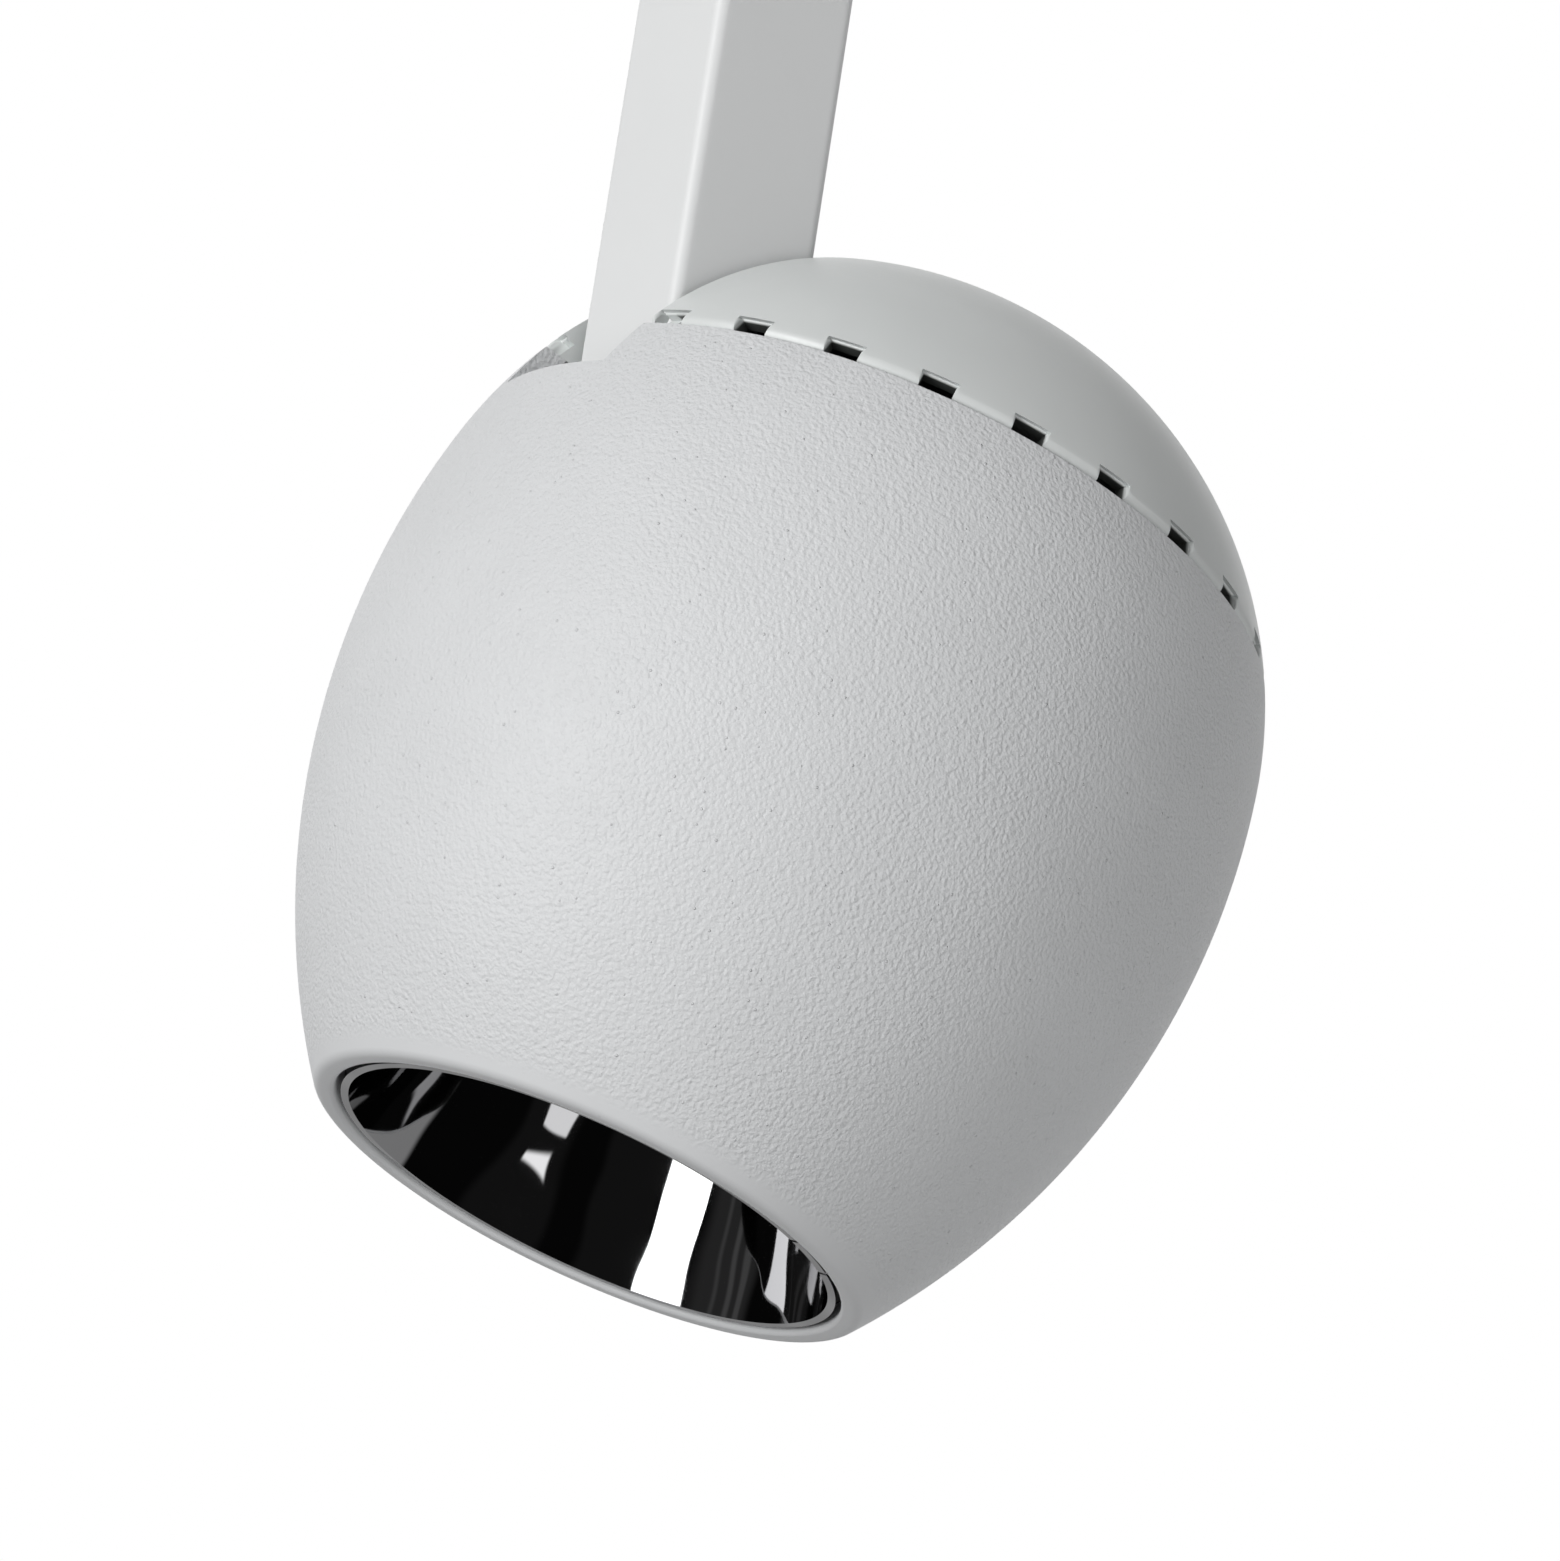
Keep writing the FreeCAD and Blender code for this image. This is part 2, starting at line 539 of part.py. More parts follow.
def heat_sink():
    """Cast heat sink: round plate, radial fins behind it and a pad for the pivot bracket."""
    floor = -LED_PLANE_DEPTH
    back = floor + SINK_PLATE
    plate = rod(SINK_RADIUS, floor, back)
    core = rod(FIN_CORE_RADIUS, back, SINK_TOP)
    half = FIN_THICKNESS / 2
    tip = SINK_RADIUS - half
    corners = [V(0, -half, floor), V(tip, -half, floor), V(tip, -half, SINK_TOP - FIN_SLOPE),
               V(tip - FIN_SLOPE, -half, SINK_TOP), V(0, -half, SINK_TOP)]
    fin = Part.Face(Part.makePolygon(corners + corners[:1])).extrude(V(0, FIN_THICKNESS, 0))
    pitch = 360 / FIN_COUNT
    fins = around(fin, [(k + 1 / 2) * pitch for k in range(FIN_COUNT)])
    pad_front = PAD_DEPTH / 2 - PIVOT_OFFSET
    pad = box((-LUG_OUTER, LUG_OUTER), (pad_front - PAD_DEPTH, pad_front), (floor, PAD_TOP))
    sink = joined(plate, [core, pad.common(rod(SINK_RADIUS, floor, SINK_TOP))] + fins)
    sink = sink.cut(box((-LUG_OUTER - OVERRUN, LUG_OUTER + OVERRUN), (-2 * HEAD_RADIUS, pad_front + OVERRUN),
                        (PAD_TOP, 2 * HEAD_RADIUS)))
    through = rod(SINK_SCREW_RADIUS + PART_FIT, floor - OVERRUN, back + OVERRUN, BOSS_CIRCLE)
    for hole in around(through, BOSS_ANGLES):
        sink = sink.cut(hole)
    tapped = rod(HOLDER_SCREW_RADIUS + PART_FIT, floor - OVERRUN, floor + HOLDER_SCREW_REACH + PART_FIT)
    blind = rod(BRACKET_SCREW_RADIUS + PART_FIT, PAD_TOP - BRACKET_SCREW_LENGTH, PAD_TOP + OVERRUN)
    for side in (-1, 1):
        sink = sink.cut(moved(tapped, side * HOLDER_SCREW_CIRCLE, 0, 0))
        sink = sink.cut(moved(blind, side * BRACKET_SCREW_SPREAD, -PIVOT_OFFSET, 0))
    return sink


def heat_sink_screws():
    """Three screws through the heat sink's plate into the shell's bosses."""
    seat = SINK_PLATE - LED_PLANE_DEPTH
    one = moved(screw(SINK_SCREW_RADIUS, SINK_SCREW_LENGTH), BOSS_CIRCLE, 0, seat)
    return Part.makeCompound(around(one, BOSS_ANGLES))


def pivot_bracket():
    """Folded bracket: base on the heat sink's pad and two lugs beside the arm."""
    front = BRACKET_DEPTH / 2
    top = PAD_TOP + BRACKET_BASE
    bracket = box((-LUG_OUTER, LUG_OUTER), (-front, front), (PAD_TOP, top))
    pieces = []
    for start in (LUG_INNER, -LUG_OUTER):
        end = start + LUG_THICKNESS
        pieces.append(box((start, end), (-LUG_RADIUS, LUG_RADIUS), (PAD_TOP, PIVOT_HEIGHT)))
        pieces.append(cross_rod(LUG_RADIUS, start, end, 0, PIVOT_HEIGHT))
    bracket = joined(bracket, pieces)
    reach = LUG_OUTER + OVERRUN
    bracket = bracket.cut(cross_rod(PIN_RADIUS + PART_FIT, -reach, reach, 0, PIVOT_HEIGHT))
    hole = sunk_hole(BRACKET_SCREW_RADIUS, BRACKET_SCREW_LENGTH)
    for side in (-1, 1):
        bracket = bracket.cut(moved(hole, side * BRACKET_SCREW_SPREAD, 0, top))
    return moved(bracket, 0, -PIVOT_OFFSET, 0).common(rod(SINK_RADIUS, PAD_TOP, PIVOT_HEIGHT + LUG_RADIUS))


def bracket_screws():
    """Two countersunk screws that hold the bracket on the pad."""
    one = sunk_screw(BRACKET_SCREW_RADIUS, BRACKET_SCREW_LENGTH)
    top = PAD_TOP + BRACKET_BASE
    places = (-BRACKET_SCREW_SPREAD, BRACKET_SCREW_SPREAD)
    return Part.makeCompound([moved(one, x, -PIVOT_OFFSET, top) for x in places])


def pivot_pin():
    """Shouldered pin through lugs and arm, with a threaded end on the -X side."""
    body = cross_rod(PIN_HEAD_RADIUS, LUG_OUTER, LUG_OUTER + PIN_HEAD_HEIGHT)
    body = body.fuse(cross_rod(PIN_RADIUS, -LUG_OUTER, LUG_OUTER + OVERRUN))
    body = body.fuse(cross_rod(PIN_THREAD_RADIUS, -LUG_OUTER - PIN_THREAD_LENGTH, -LUG_INNER))
    flats = PIN_DRIVE_RADIUS * math.sqrt(3)
    drive = laid(nut(flats, PIN_DRIVE_RADIUS / 4, -PIN_HEAD_HEIGHT, PIN_HEAD_HEIGHT))
    drive = moved(drive, LUG_OUTER + 3 * PIN_HEAD_HEIGHT / 2, 0, 0)
    return moved(body.removeSplitter().cut(drive), 0, -PIVOT_OFFSET, PIVOT_HEIGHT)


def friction_washers():
    """Two washers on the pin, between the lugs and the arm."""
    inner = PIN_RADIUS + PART_FIT
    near = HALF_ARM + BODY_GAP
    thickness = LUG_INNER - near
    pair = [cross_ring(FRICTION_WASHER_RADIUS, inner, start, start + thickness, -PIVOT_OFFSET, PIVOT_HEIGHT)
            for start in (near, -LUG_INNER)]
    return Part.makeCompound(pair)


def pivot_spring():
    """Dished washer that keeps the pivot's friction."""
    inner = PIN_THREAD_RADIUS + PART_FIT
    dish = spring_washer(SPRING_WASHER_RADIUS, inner, SPRING_WASHER_HEIGHT, SPRING_WASHER_WALL, LUG_OUTER)
    return moved(laid(dish), 0, -PIVOT_OFFSET, PIVOT_HEIGHT)


def pivot_nut():
    """Nut on the pin's threaded end."""
    base = LUG_OUTER + SPRING_WASHER_HEIGHT
    body = nut(PIVOT_NUT_FLATS, PIN_THREAD_RADIUS + PART_FIT, base, base + PIVOT_NUT_HEIGHT)
    return moved(laid(body), 0, -PIVOT_OFFSET, PIVOT_HEIGHT)


def square_bar(size, rounding, bottom, top):
    """Upright square bar with rounded edges."""
    half = size / 2
    bar = box((-half, half), (-half, half), (bottom, top))
    upright = [edge for edge in bar.Edges if edge.BoundBox.ZLength > (top - bottom) / 2]
    return bar.makeFillet(rounding, upright)


def round_end(shape, top):
    """Keep what lies above the pivot or within the arm's half width of it."""
    upper = box((-ARM_SIZE, ARM_SIZE), (-ARM_SIZE, ARM_SIZE), (-PIVOT_DROP, top))
    return shape.common(upper.fuse(cross_rod(HALF_ARM, -ARM_SIZE, ARM_SIZE, 0, -PIVOT_DROP)))


def insert_pin_hole(z):
    """Cross hole for a pin that holds an insert in the tube."""
    return cross_rod(INSERT_PIN_RADIUS + PART_FIT, -ARM_SIZE, ARM_SIZE, 0, z)


def insert_pin_heights():
    """Heights of the lower and upper cross pins."""
    return (INSERT_PIN_RISE - PIVOT_DROP, ARM_TOP - TOP_INSERT_LENGTH + INSERT_PIN_RISE / 2)


def arm_tube():
    """Square tube with softly rounded edges and a rounded end at the pivot."""
    foot = -PIVOT_DROP - HALF_ARM - OVERRUN
    tube = square_bar(ARM_SIZE, ARM_EDGE_ROUND, foot, ARM_TOP)
    tube = tube.cut(square_bar(INNER_ARM, ARM_INNER_ROUND, foot - OVERRUN, ARM_TOP + OVERRUN))
    tube = round_end(tube, ARM_TOP)
    tube = tube.cut(cross_rod(BUSH_RADIUS + PART_FIT, -ARM_SIZE, ARM_SIZE, 0, -PIVOT_DROP))
    for z in insert_pin_heights():
        tube = tube.cut(insert_pin_hole(z))
    return tube


def hinge_insert():
    """Solid knuckle inside the tube's lower end, with the bush bore and a wire channel."""
    foot = -PIVOT_DROP - HALF_ARM - OVERRUN
    top = INSERT_REACH - PIVOT_DROP
    body = round_end(square_bar(INSERT_SIZE, ARM_INNER_ROUND, foot, top), top)
    body = body.cut(cross_rod(BUSH_RADIUS + PART_FIT, -ARM_SIZE, ARM_SIZE, 0, -PIVOT_DROP))
    half = WIRE_CHANNEL_WIDTH / 2
    depth = INSERT_SIZE / 2 - WIRE_CHANNEL_DEPTH
    channel = box((-half, half), (depth, ARM_SIZE), (foot - OVERRUN, top + OVERRUN))
    return body.cut(channel).cut(insert_pin_hole(insert_pin_heights()[0]))


def pivot_bush():
    """Plain bush pressed through the arm's end."""
    return cross_ring(BUSH_RADIUS, PIN_RADIUS + RUNNING_FIT, -HALF_ARM, HALF_ARM, 0, -PIVOT_DROP)


def insert_pins():
    """Cross pins that hold both inserts in the tube."""
    reach = HALF_ARM - PART_FIT
    bore = INSERT_PIN_RADIUS / 2
    return Part.makeCompound([cross_ring(INSERT_PIN_RADIUS, bore, -reach, reach, 0, z)
                              for z in insert_pin_heights()])


def top_screw_places():
    """Places of the two screws between swivel plate and top insert."""
    spread = (STEM_RADIUS + INSERT_SIZE / 2 * math.sqrt(2)) / 2 / math.sqrt(2)
    return [(side * spread, side * spread) for side in (-1, 1)]


def top_insert():
    """Solid block inside the tube's upper end that takes the swivel stem."""
    body = square_bar(INSERT_SIZE, ARM_INNER_ROUND, ARM_TOP - TOP_INSERT_LENGTH, ARM_TOP)
    body = body.cut(rod(STEM_BORE, ARM_TOP - TOP_INSERT_LENGTH - OVERRUN, ARM_TOP + OVERRUN))
    body = body.cut(rod(STEM_RADIUS + PART_FIT, ARM_TOP - TOP_INSERT_LENGTH / 2, ARM_TOP + OVERRUN))
    for x, y in top_screw_places():
        body = body.cut(rod(TOP_SCREW_RADIUS + PART_FIT, ARM_TOP - TOP_SCREW_LENGTH, ARM_TOP + OVERRUN, x, y))
    return body.cut(insert_pin_hole(insert_pin_heights()[1]))


def swivel_plate():
    """Round turning plate between the arm and the canopy."""
    top = ARM_TOP + SWIVEL_PLATE_HEIGHT
    disc = rod(SWIVEL_PLATE_RADIUS, ARM_TOP, top)
    low = [edge for edge in disc.Edges if edge.BoundBox.ZMax < ARM_TOP + OVERRUN / 2]
    disc = disc.makeFillet(SWIVEL_PLATE_ROUND, low)
    disc = disc.cut(rod(STEM_RADIUS + PART_FIT, ARM_TOP - OVERRUN, top + OVERRUN))
    for x, y in top_screw_places():
        disc = disc.cut(moved(sunk_hole(TOP_SCREW_RADIUS, TOP_SCREW_LENGTH), x, y, top))
    return disc


def top_screws():
    """Two countersunk screws that hold the arm on the swivel plate."""
    one = sunk_screw(TOP_SCREW_RADIUS, TOP_SCREW_LENGTH)
    top = ARM_TOP + SWIVEL_PLATE_HEIGHT
    return Part.makeCompound([moved(one, x, y, top) for x, y in top_screw_places()])


def swivel_stem():
    """Hollow stem from the arm into the canopy, for the wires."""
    return ring(STEM_RADIUS, STEM_BORE, ARM_TOP - TOP_INSERT_LENGTH / 2 + PART_FIT, STEM_TOP)


def stop_washer():
    """Washer on the stem whose tab meets the stop peg at both ends of the turn."""
    low = STOP_WASHER_BASE
    high = low + STOP_WASHER_HEIGHT
    half = STOP_TAB_WIDTH / 2
    tab = box((-half, half), (0, STOP_TAB_REACH), (low, high))
    disc = rod(STOP_WASHER_RADIUS, low, high).fuse(tab)
    return disc.cut(rod(STEM_RADIUS + PART_FIT, low - OVERRUN, high + OVERRUN))


def swivel_spring():
    """Dished washer that keeps the swivel's friction."""
    return spring_washer(STOP_WASHER_RADIUS, STEM_RADIUS + PART_FIT, SWIVEL_SPRING_HEIGHT, SWIVEL_SPRING_WALL,
                         SWIVEL_SPRING_BASE)


def swivel_nut():
    """Nut on the stem inside the canopy."""
    return nut(SWIVEL_NUT_FLATS, STEM_RADIUS + PART_FIT, SWIVEL_NUT_BASE, SWIVEL_NUT_BASE + SWIVEL_NUT_HEIGHT)


def stem_bush():
    """Flanged bush in the canopy's floor that the stem turns in."""
    inner = STEM_RADIUS + RUNNING_FIT
    sleeve = ring(inner + STEM_BUSH_WALL, inner, -CANOPY_HEIGHT, FLOOR_TOP)
    flange = ring(STEM_BUSH_FLANGE, inner, FLOOR_TOP, FLOOR_TOP + STEM_BUSH_FLANGE_HEIGHT)
    return joined(sleeve, [flange])


def stop_peg():
    """Peg riveted in the canopy's floor, opposite the washer's tab."""
    low = CANOPY_WALL / 2 - CANOPY_HEIGHT
    return rod(STOP_PEG_RADIUS, low, FLOOR_TOP + STOP_PEG_HEIGHT, 0, -STOP_PEG_CIRCLE)


def canopy_cover():
    """Round cover, open at the ceiling, with a rounded lower edge."""
    blank = rod(CANOPY_RADIUS, -CANOPY_HEIGHT, 0)
    low = [edge for edge in blank.Edges if edge.BoundBox.ZMax < OVERRUN - CANOPY_HEIGHT]
    blank = blank.makeFillet(CANOPY_ROUND, low)
    hollow = rod(CANOPY_RADIUS - CANOPY_WALL, FLOOR_TOP, OVERRUN)
    low = [edge for edge in hollow.Edges if edge.BoundBox.ZMax < FLOOR_TOP + OVERRUN]
    hollow = hollow.makeFillet(CANOPY_ROUND - CANOPY_WALL, low)
    cover = blank.cut(hollow)
    bush = STEM_RADIUS + RUNNING_FIT + STEM_BUSH_WALL + PART_FIT
    cover = cover.cut(rod(bush, -CANOPY_HEIGHT - OVERRUN, FLOOR_TOP + OVERRUN))
    cover = cover.cut(rod(STOP_PEG_RADIUS + PART_FIT, -CANOPY_HEIGHT + CANOPY_WALL / 2, FLOOR_TOP + OVERRUN,
                          0, -STOP_PEG_CIRCLE))
    for angle in COVER_SCREW_ANGLES:
        cover = cover.cut(cover_screw_room(angle))
    return cover


def cover_screw_room(angle):
    """Radial hole with a shallow seat for the head of a cover screw."""
    hole = COVER_SCREW_RADIUS + PART_FIT
    head = COVER_SCREW_RADIUS * SCREW_HEAD_SHARE + PART_FIT
    seat = CANOPY_RADIUS - COVER_SCREW_SINK
    room = cross_rod(hole, seat - 2 * COVER_SCREW_LENGTH, CANOPY_RADIUS, 0, -COVER_SCREW_DROP)
    return turn(room.fuse(cross_rod(head, seat, CANOPY_RADIUS + OVERRUN, 0, -COVER_SCREW_DROP)), angle)


def cover_screws():
    """Three radial screws that hold the cover on the mounting plate."""
    one = screw(COVER_SCREW_RADIUS, COVER_SCREW_LENGTH)
    one.rotate(V(0, 0, 0), V(0, 1, 0), 90)
    one = moved(one, CANOPY_RADIUS - COVER_SCREW_SINK, 0, -COVER_SCREW_DROP)
    return Part.makeCompound(around(one, COVER_SCREW_ANGLES))


def mounting_slot(x):
    """Slot along X for a ceiling screw."""
    radius = PLATE_SLOT_WIDTH / 2
    half = PLATE_SLOT_LENGTH / 2 - radius
    low = -PLATE_THICKNESS - OVERRUN
    slot = box((x - half, x + half), (-radius, radius), (low, OVERRUN))
    return slot.fuse([rod(radius, low, OVERRUN, x - half), rod(radius, low, OVERRUN, x + half)])


def ear_places():
    """Places of the driver's two fixing ears."""
    reach = DRIVER_LENGTH / 2 + DRIVER_EAR / 2
    return [(side * reach, DRIVER_OFFSET) for side in (-1, 1)]


def mounting_plate():
    """Pressed steel plate with a turned-down flange, two slots and a cable hole."""
    plate = rod(PLATE_RADIUS, -PLATE_FLANGE, 0)
    plate = plate.cut(rod(PLATE_RADIUS - PLATE_THICKNESS, -PLATE_FLANGE - OVERRUN, -PLATE_THICKNESS))
    plate = plate.cut(rod(GROMMET_HOLE_RADIUS, -PLATE_THICKNESS - OVERRUN, OVERRUN))
    for side in (-1, 1):
        plate = plate.cut(mounting_slot(side * PLATE_SLOT_SPACING / 2))
    for x, y in ear_places():
        plate = plate.cut(rod(DRIVER_SCREW_RADIUS + PART_FIT, -PLATE_THICKNESS - OVERRUN, OVERRUN, x, y))
    x, y = EARTH_SCREW_PLACE
    plate = plate.cut(rod(EARTH_SCREW_RADIUS + PART_FIT, -PLATE_THICKNESS - OVERRUN, OVERRUN, x, y))
    for angle in COVER_SCREW_ANGLES:
        plate = plate.cut(cover_screw_room(angle))
    return plate


def cable_grommet():
    """Soft grommet in the plate's cable hole, with its lip on the inside."""
    outer = GROMMET_HOLE_RADIUS - PART_FIT
    lip = GROMMET_HOLE_RADIUS + GROMMET_LIP
    sleeve = rod(outer, -PLATE_THICKNESS - GROMMET_LIP_HEIGHT, 0)
    sleeve = sleeve.fuse(rod(lip, -PLATE_THICKNESS - GROMMET_LIP_HEIGHT, -PLATE_THICKNESS))
    neck = rod(GROMMET_BORE + GROMMET_SLEEVE, -PLATE_THICKNESS - 2 * GROMMET_SLEEVE, 0)
    return sleeve.fuse(neck).cut(rod(GROMMET_BORE, -PLATE_FLANGE, OVERRUN)).removeSplitter()


def driver():
    """Power supply box with two fixing ears and a wire port at each end."""
    top = -PLATE_THICKNESS
    low = top - DRIVER_HEIGHT
    half = DRIVER_LENGTH / 2
    side = DRIVER_WIDTH / 2
    body = box((-half, half), (DRIVER_OFFSET - side, DRIVER_OFFSET + side), (low, top))
    lower = [edge for edge in body.Edges if edge.BoundBox.ZMin < top - OVERRUN]
    body = body.makeFillet(DRIVER_ROUND, lower)
    port = DRIVER_PORT_WIDTH / 2
    middle = top - DRIVER_HEIGHT / 2
    floor = half - DRIVER_PORT_DEPTH
    for depth in ((floor, half + OVERRUN), (-half - OVERRUN, -floor)):
        body = body.cut(box(depth, (DRIVER_OFFSET - port, DRIVER_OFFSET + port),
                            (middle - DRIVER_PORT_HEIGHT / 2, middle + DRIVER_PORT_HEIGHT / 2)))
    ears = []
    reach = DRIVER_EAR / 2 + OVERRUN
    for x, y in ear_places():
        ear = box((x - reach, x + reach), (y - DRIVER_EAR, y + DRIVER_EAR), (top - DRIVER_EAR_HEIGHT, top))
        ears.append(ear.cut(rod(DRIVER_SCREW_RADIUS + PART_FIT, low, top + OVERRUN, x, y)))
    return joined(body, ears)


def driver_screws():
    """Two screws through the driver's ears into the plate."""
    seat = -PLATE_THICKNESS - DRIVER_EAR_HEIGHT
    one = flipped(screw(DRIVER_SCREW_RADIUS, DRIVER_EAR_HEIGHT + PLATE_THICKNESS))
    return Part.makeCompound([moved(one, x, y, seat) for x, y in ear_places()])


def pole_places():
    """X of the middle of each pole of the terminal block."""
    middle = (TERMINAL_POLES - 1) / 2
    return [(k - middle) * TERMINAL_PITCH for k in range(TERMINAL_POLES)]


def terminal_block():
    """Moulded terminal block: one tower for each pole, wire holes through, screw wells below."""
    top = -PLATE_THICKNESS
    low = top - TERMINAL_HEIGHT
    half = TERMINAL_POLES * TERMINAL_PITCH / 2
    depth = TERMINAL_DEPTH / 2
    sides = (-TERMINAL_OFFSET - depth, depth - TERMINAL_OFFSET)
    reach = (TERMINAL_PITCH - TERMINAL_TOWER_GAP) / 2
    towers = [box((x - reach, x + reach), sides, (low, top)) for x in pole_places()]
    block = joined(box((-half, half), sides, (top - TERMINAL_HEIGHT / 3, top)), towers)
    for x in pole_places():
        wire = Part.makeCylinder(TERMINAL_WIRE_RADIUS, TERMINAL_DEPTH + 2 * OVERRUN,
                                 V(x, -TERMINAL_OFFSET - depth - OVERRUN, (top + low) / 2), V(0, 1, 0))
        well = rod(TERMINAL_SCREW_RADIUS * SCREW_HEAD_SHARE + PART_FIT, low - OVERRUN, (top + low) / 2,
                   x, -TERMINAL_OFFSET)
        block = block.cut(wire).cut(well)
    return block


def terminal_screws():
    """One clamping screw in each well of the terminal block."""
    low = -PLATE_THICKNESS - TERMINAL_HEIGHT
    one = flipped(screw(TERMINAL_SCREW_RADIUS, TERMINAL_SCREW_LENGTH))
    sink = TERMINAL_SCREW_RADIUS * SCREW_HEAD_HEIGHT_SHARE
    return Part.makeCompound([moved(one, x, -TERMINAL_OFFSET, low + sink) for x in pole_places()])


def earth_screw():
    """Earth screw under the plate."""
    x, y = EARTH_SCREW_PLACE
    return moved(flipped(screw(EARTH_SCREW_RADIUS, PLATE_THICKNESS)), x, y, -PLATE_THICKNESS)


HEAD_PIECES = {
    "front_shell": front_shell,
    "rear_cap": rear_cap,
    "reflector": reflector,
    "reflector_ring": reflector_ring,
    "thermal_pad": thermal_pad,
    "led_board": led_board,
    "led_disc": led_disc,
    "led_holder": led_holder,
    "holder_screws": holder_screws,
    "heat_sink": heat_sink,
    "heat_sink_screws": heat_sink_screws,
    "pivot_bracket": pivot_bracket,
    "bracket_screws": bracket_screws,
    "pivot_pin": pivot_pin,
    "friction_washers": friction_washers,
    "pivot_spring": pivot_spring,
    "pivot_nut": pivot_nut,
}
OTHER_PIECES = {
    "arm_tube": arm_tube,
    "hinge_insert": hinge_insert,
    "pivot_bush": pivot_bush,
    "insert_pins": insert_pins,
    "top_insert": top_insert,
    "swivel_plate": swivel_plate,
    "top_screws": top_screws,
    "swivel_stem": swivel_stem,
    "stop_washer": stop_washer,
    "swivel_spring": swivel_spring,
    "swivel_nut": swivel_nut,
    "stem_bush": stem_bush,
    "stop_peg": stop_peg,
    "canopy_cover": canopy_cover,
    "cover_screws": cover_screws,
    "mounting_plate": mounting_plate,
    "cable_grommet": cable_grommet,
    "driver": driver,
    "driver_screws": driver_screws,
    "terminal_block": terminal_block,
    "terminal_screws": terminal_screws,
    "earth_screw": earth_screw,
}


def save(name, shape):
    """Write one sub-part."""
    shape.exportStep("parts/" + name + ".step")


for name, make in HEAD_PIECES.items():
    save(name, in_head(make()))
for name, make in OTHER_PIECES.items():
    save(name, make())
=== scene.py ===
import json
import math

import bpy
import numpy as np
from mathutils import Matrix, Vector


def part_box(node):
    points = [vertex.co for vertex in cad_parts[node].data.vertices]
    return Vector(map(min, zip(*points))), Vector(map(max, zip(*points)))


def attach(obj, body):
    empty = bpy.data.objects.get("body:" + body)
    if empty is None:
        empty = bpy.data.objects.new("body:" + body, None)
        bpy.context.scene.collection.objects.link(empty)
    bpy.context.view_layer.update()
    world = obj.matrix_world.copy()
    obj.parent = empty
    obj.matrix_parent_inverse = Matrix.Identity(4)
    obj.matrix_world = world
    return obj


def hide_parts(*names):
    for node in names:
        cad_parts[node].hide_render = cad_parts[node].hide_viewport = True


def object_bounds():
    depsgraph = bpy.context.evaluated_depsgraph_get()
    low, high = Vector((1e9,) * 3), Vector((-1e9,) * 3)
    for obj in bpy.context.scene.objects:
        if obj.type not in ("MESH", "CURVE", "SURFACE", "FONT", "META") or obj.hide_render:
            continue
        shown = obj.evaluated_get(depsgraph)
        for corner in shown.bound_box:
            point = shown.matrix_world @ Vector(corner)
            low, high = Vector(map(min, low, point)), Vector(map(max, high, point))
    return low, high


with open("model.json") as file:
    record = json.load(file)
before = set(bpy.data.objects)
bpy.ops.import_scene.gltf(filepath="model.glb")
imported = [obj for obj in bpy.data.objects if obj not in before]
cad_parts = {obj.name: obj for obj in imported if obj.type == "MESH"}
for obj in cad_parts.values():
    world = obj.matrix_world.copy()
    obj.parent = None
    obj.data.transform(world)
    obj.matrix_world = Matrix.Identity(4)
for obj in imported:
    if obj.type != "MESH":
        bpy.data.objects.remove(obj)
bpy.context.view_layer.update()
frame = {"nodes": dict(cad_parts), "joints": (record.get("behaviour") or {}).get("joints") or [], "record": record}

# Lengths are in metres, in the row's frame: +Z up, the arm hangs down the Z axis.
# The head has its own frame: origin at its middle, +Z to the pole of the rear cap, -Y to the arm.

# Head outline: a spherical dome that runs tangent into a long flank arc. The skin lies a hair inside it.
SKIN = 0.00001
HEAD_RADIUS = 0.0500 - SKIN
FLANK_RADIUS = 0.0900 - SKIN
DOME_CENTRE_HEIGHT = 0.0075
MOUTH_DEPTH = 0.0547 - SKIN
LIP_WIDTH = 0.0021
LIP_ROUND = 0.0015
LIP_INNER_ROUND = 0.0005
LIP_BORE_HEIGHT = 0.0030
SHELL_WALL = 0.0026
CAP_WALL = 0.0022
SEAM_HEIGHT = 0.0272
CAP_RIM_ROUND = 0.0011
SEAM_ROUND = 0.00025

# Vents, slot for the arm, and the pivot's place in the head
VENT_COUNT = 26
VENT_WIDTH = 0.0038
VENT_HEIGHT = 0.0022
VENT_TURN = 1.6
PIVOT_OFFSET = 0.0320
PIVOT_ABOVE_SEAM = 0.0026
LUG_RADIUS = 0.0055
SLOT_SIDE_GAP = 0.0008
SLOT_CHEEK_WALL = 0.0014
SLOT_CHEEK_DEPTH = 0.0046
BODY_GAP = 0.00035
CUT_EDGE_ROUND = 0.00018
VENT_EDGE_ROUND = 0.00025

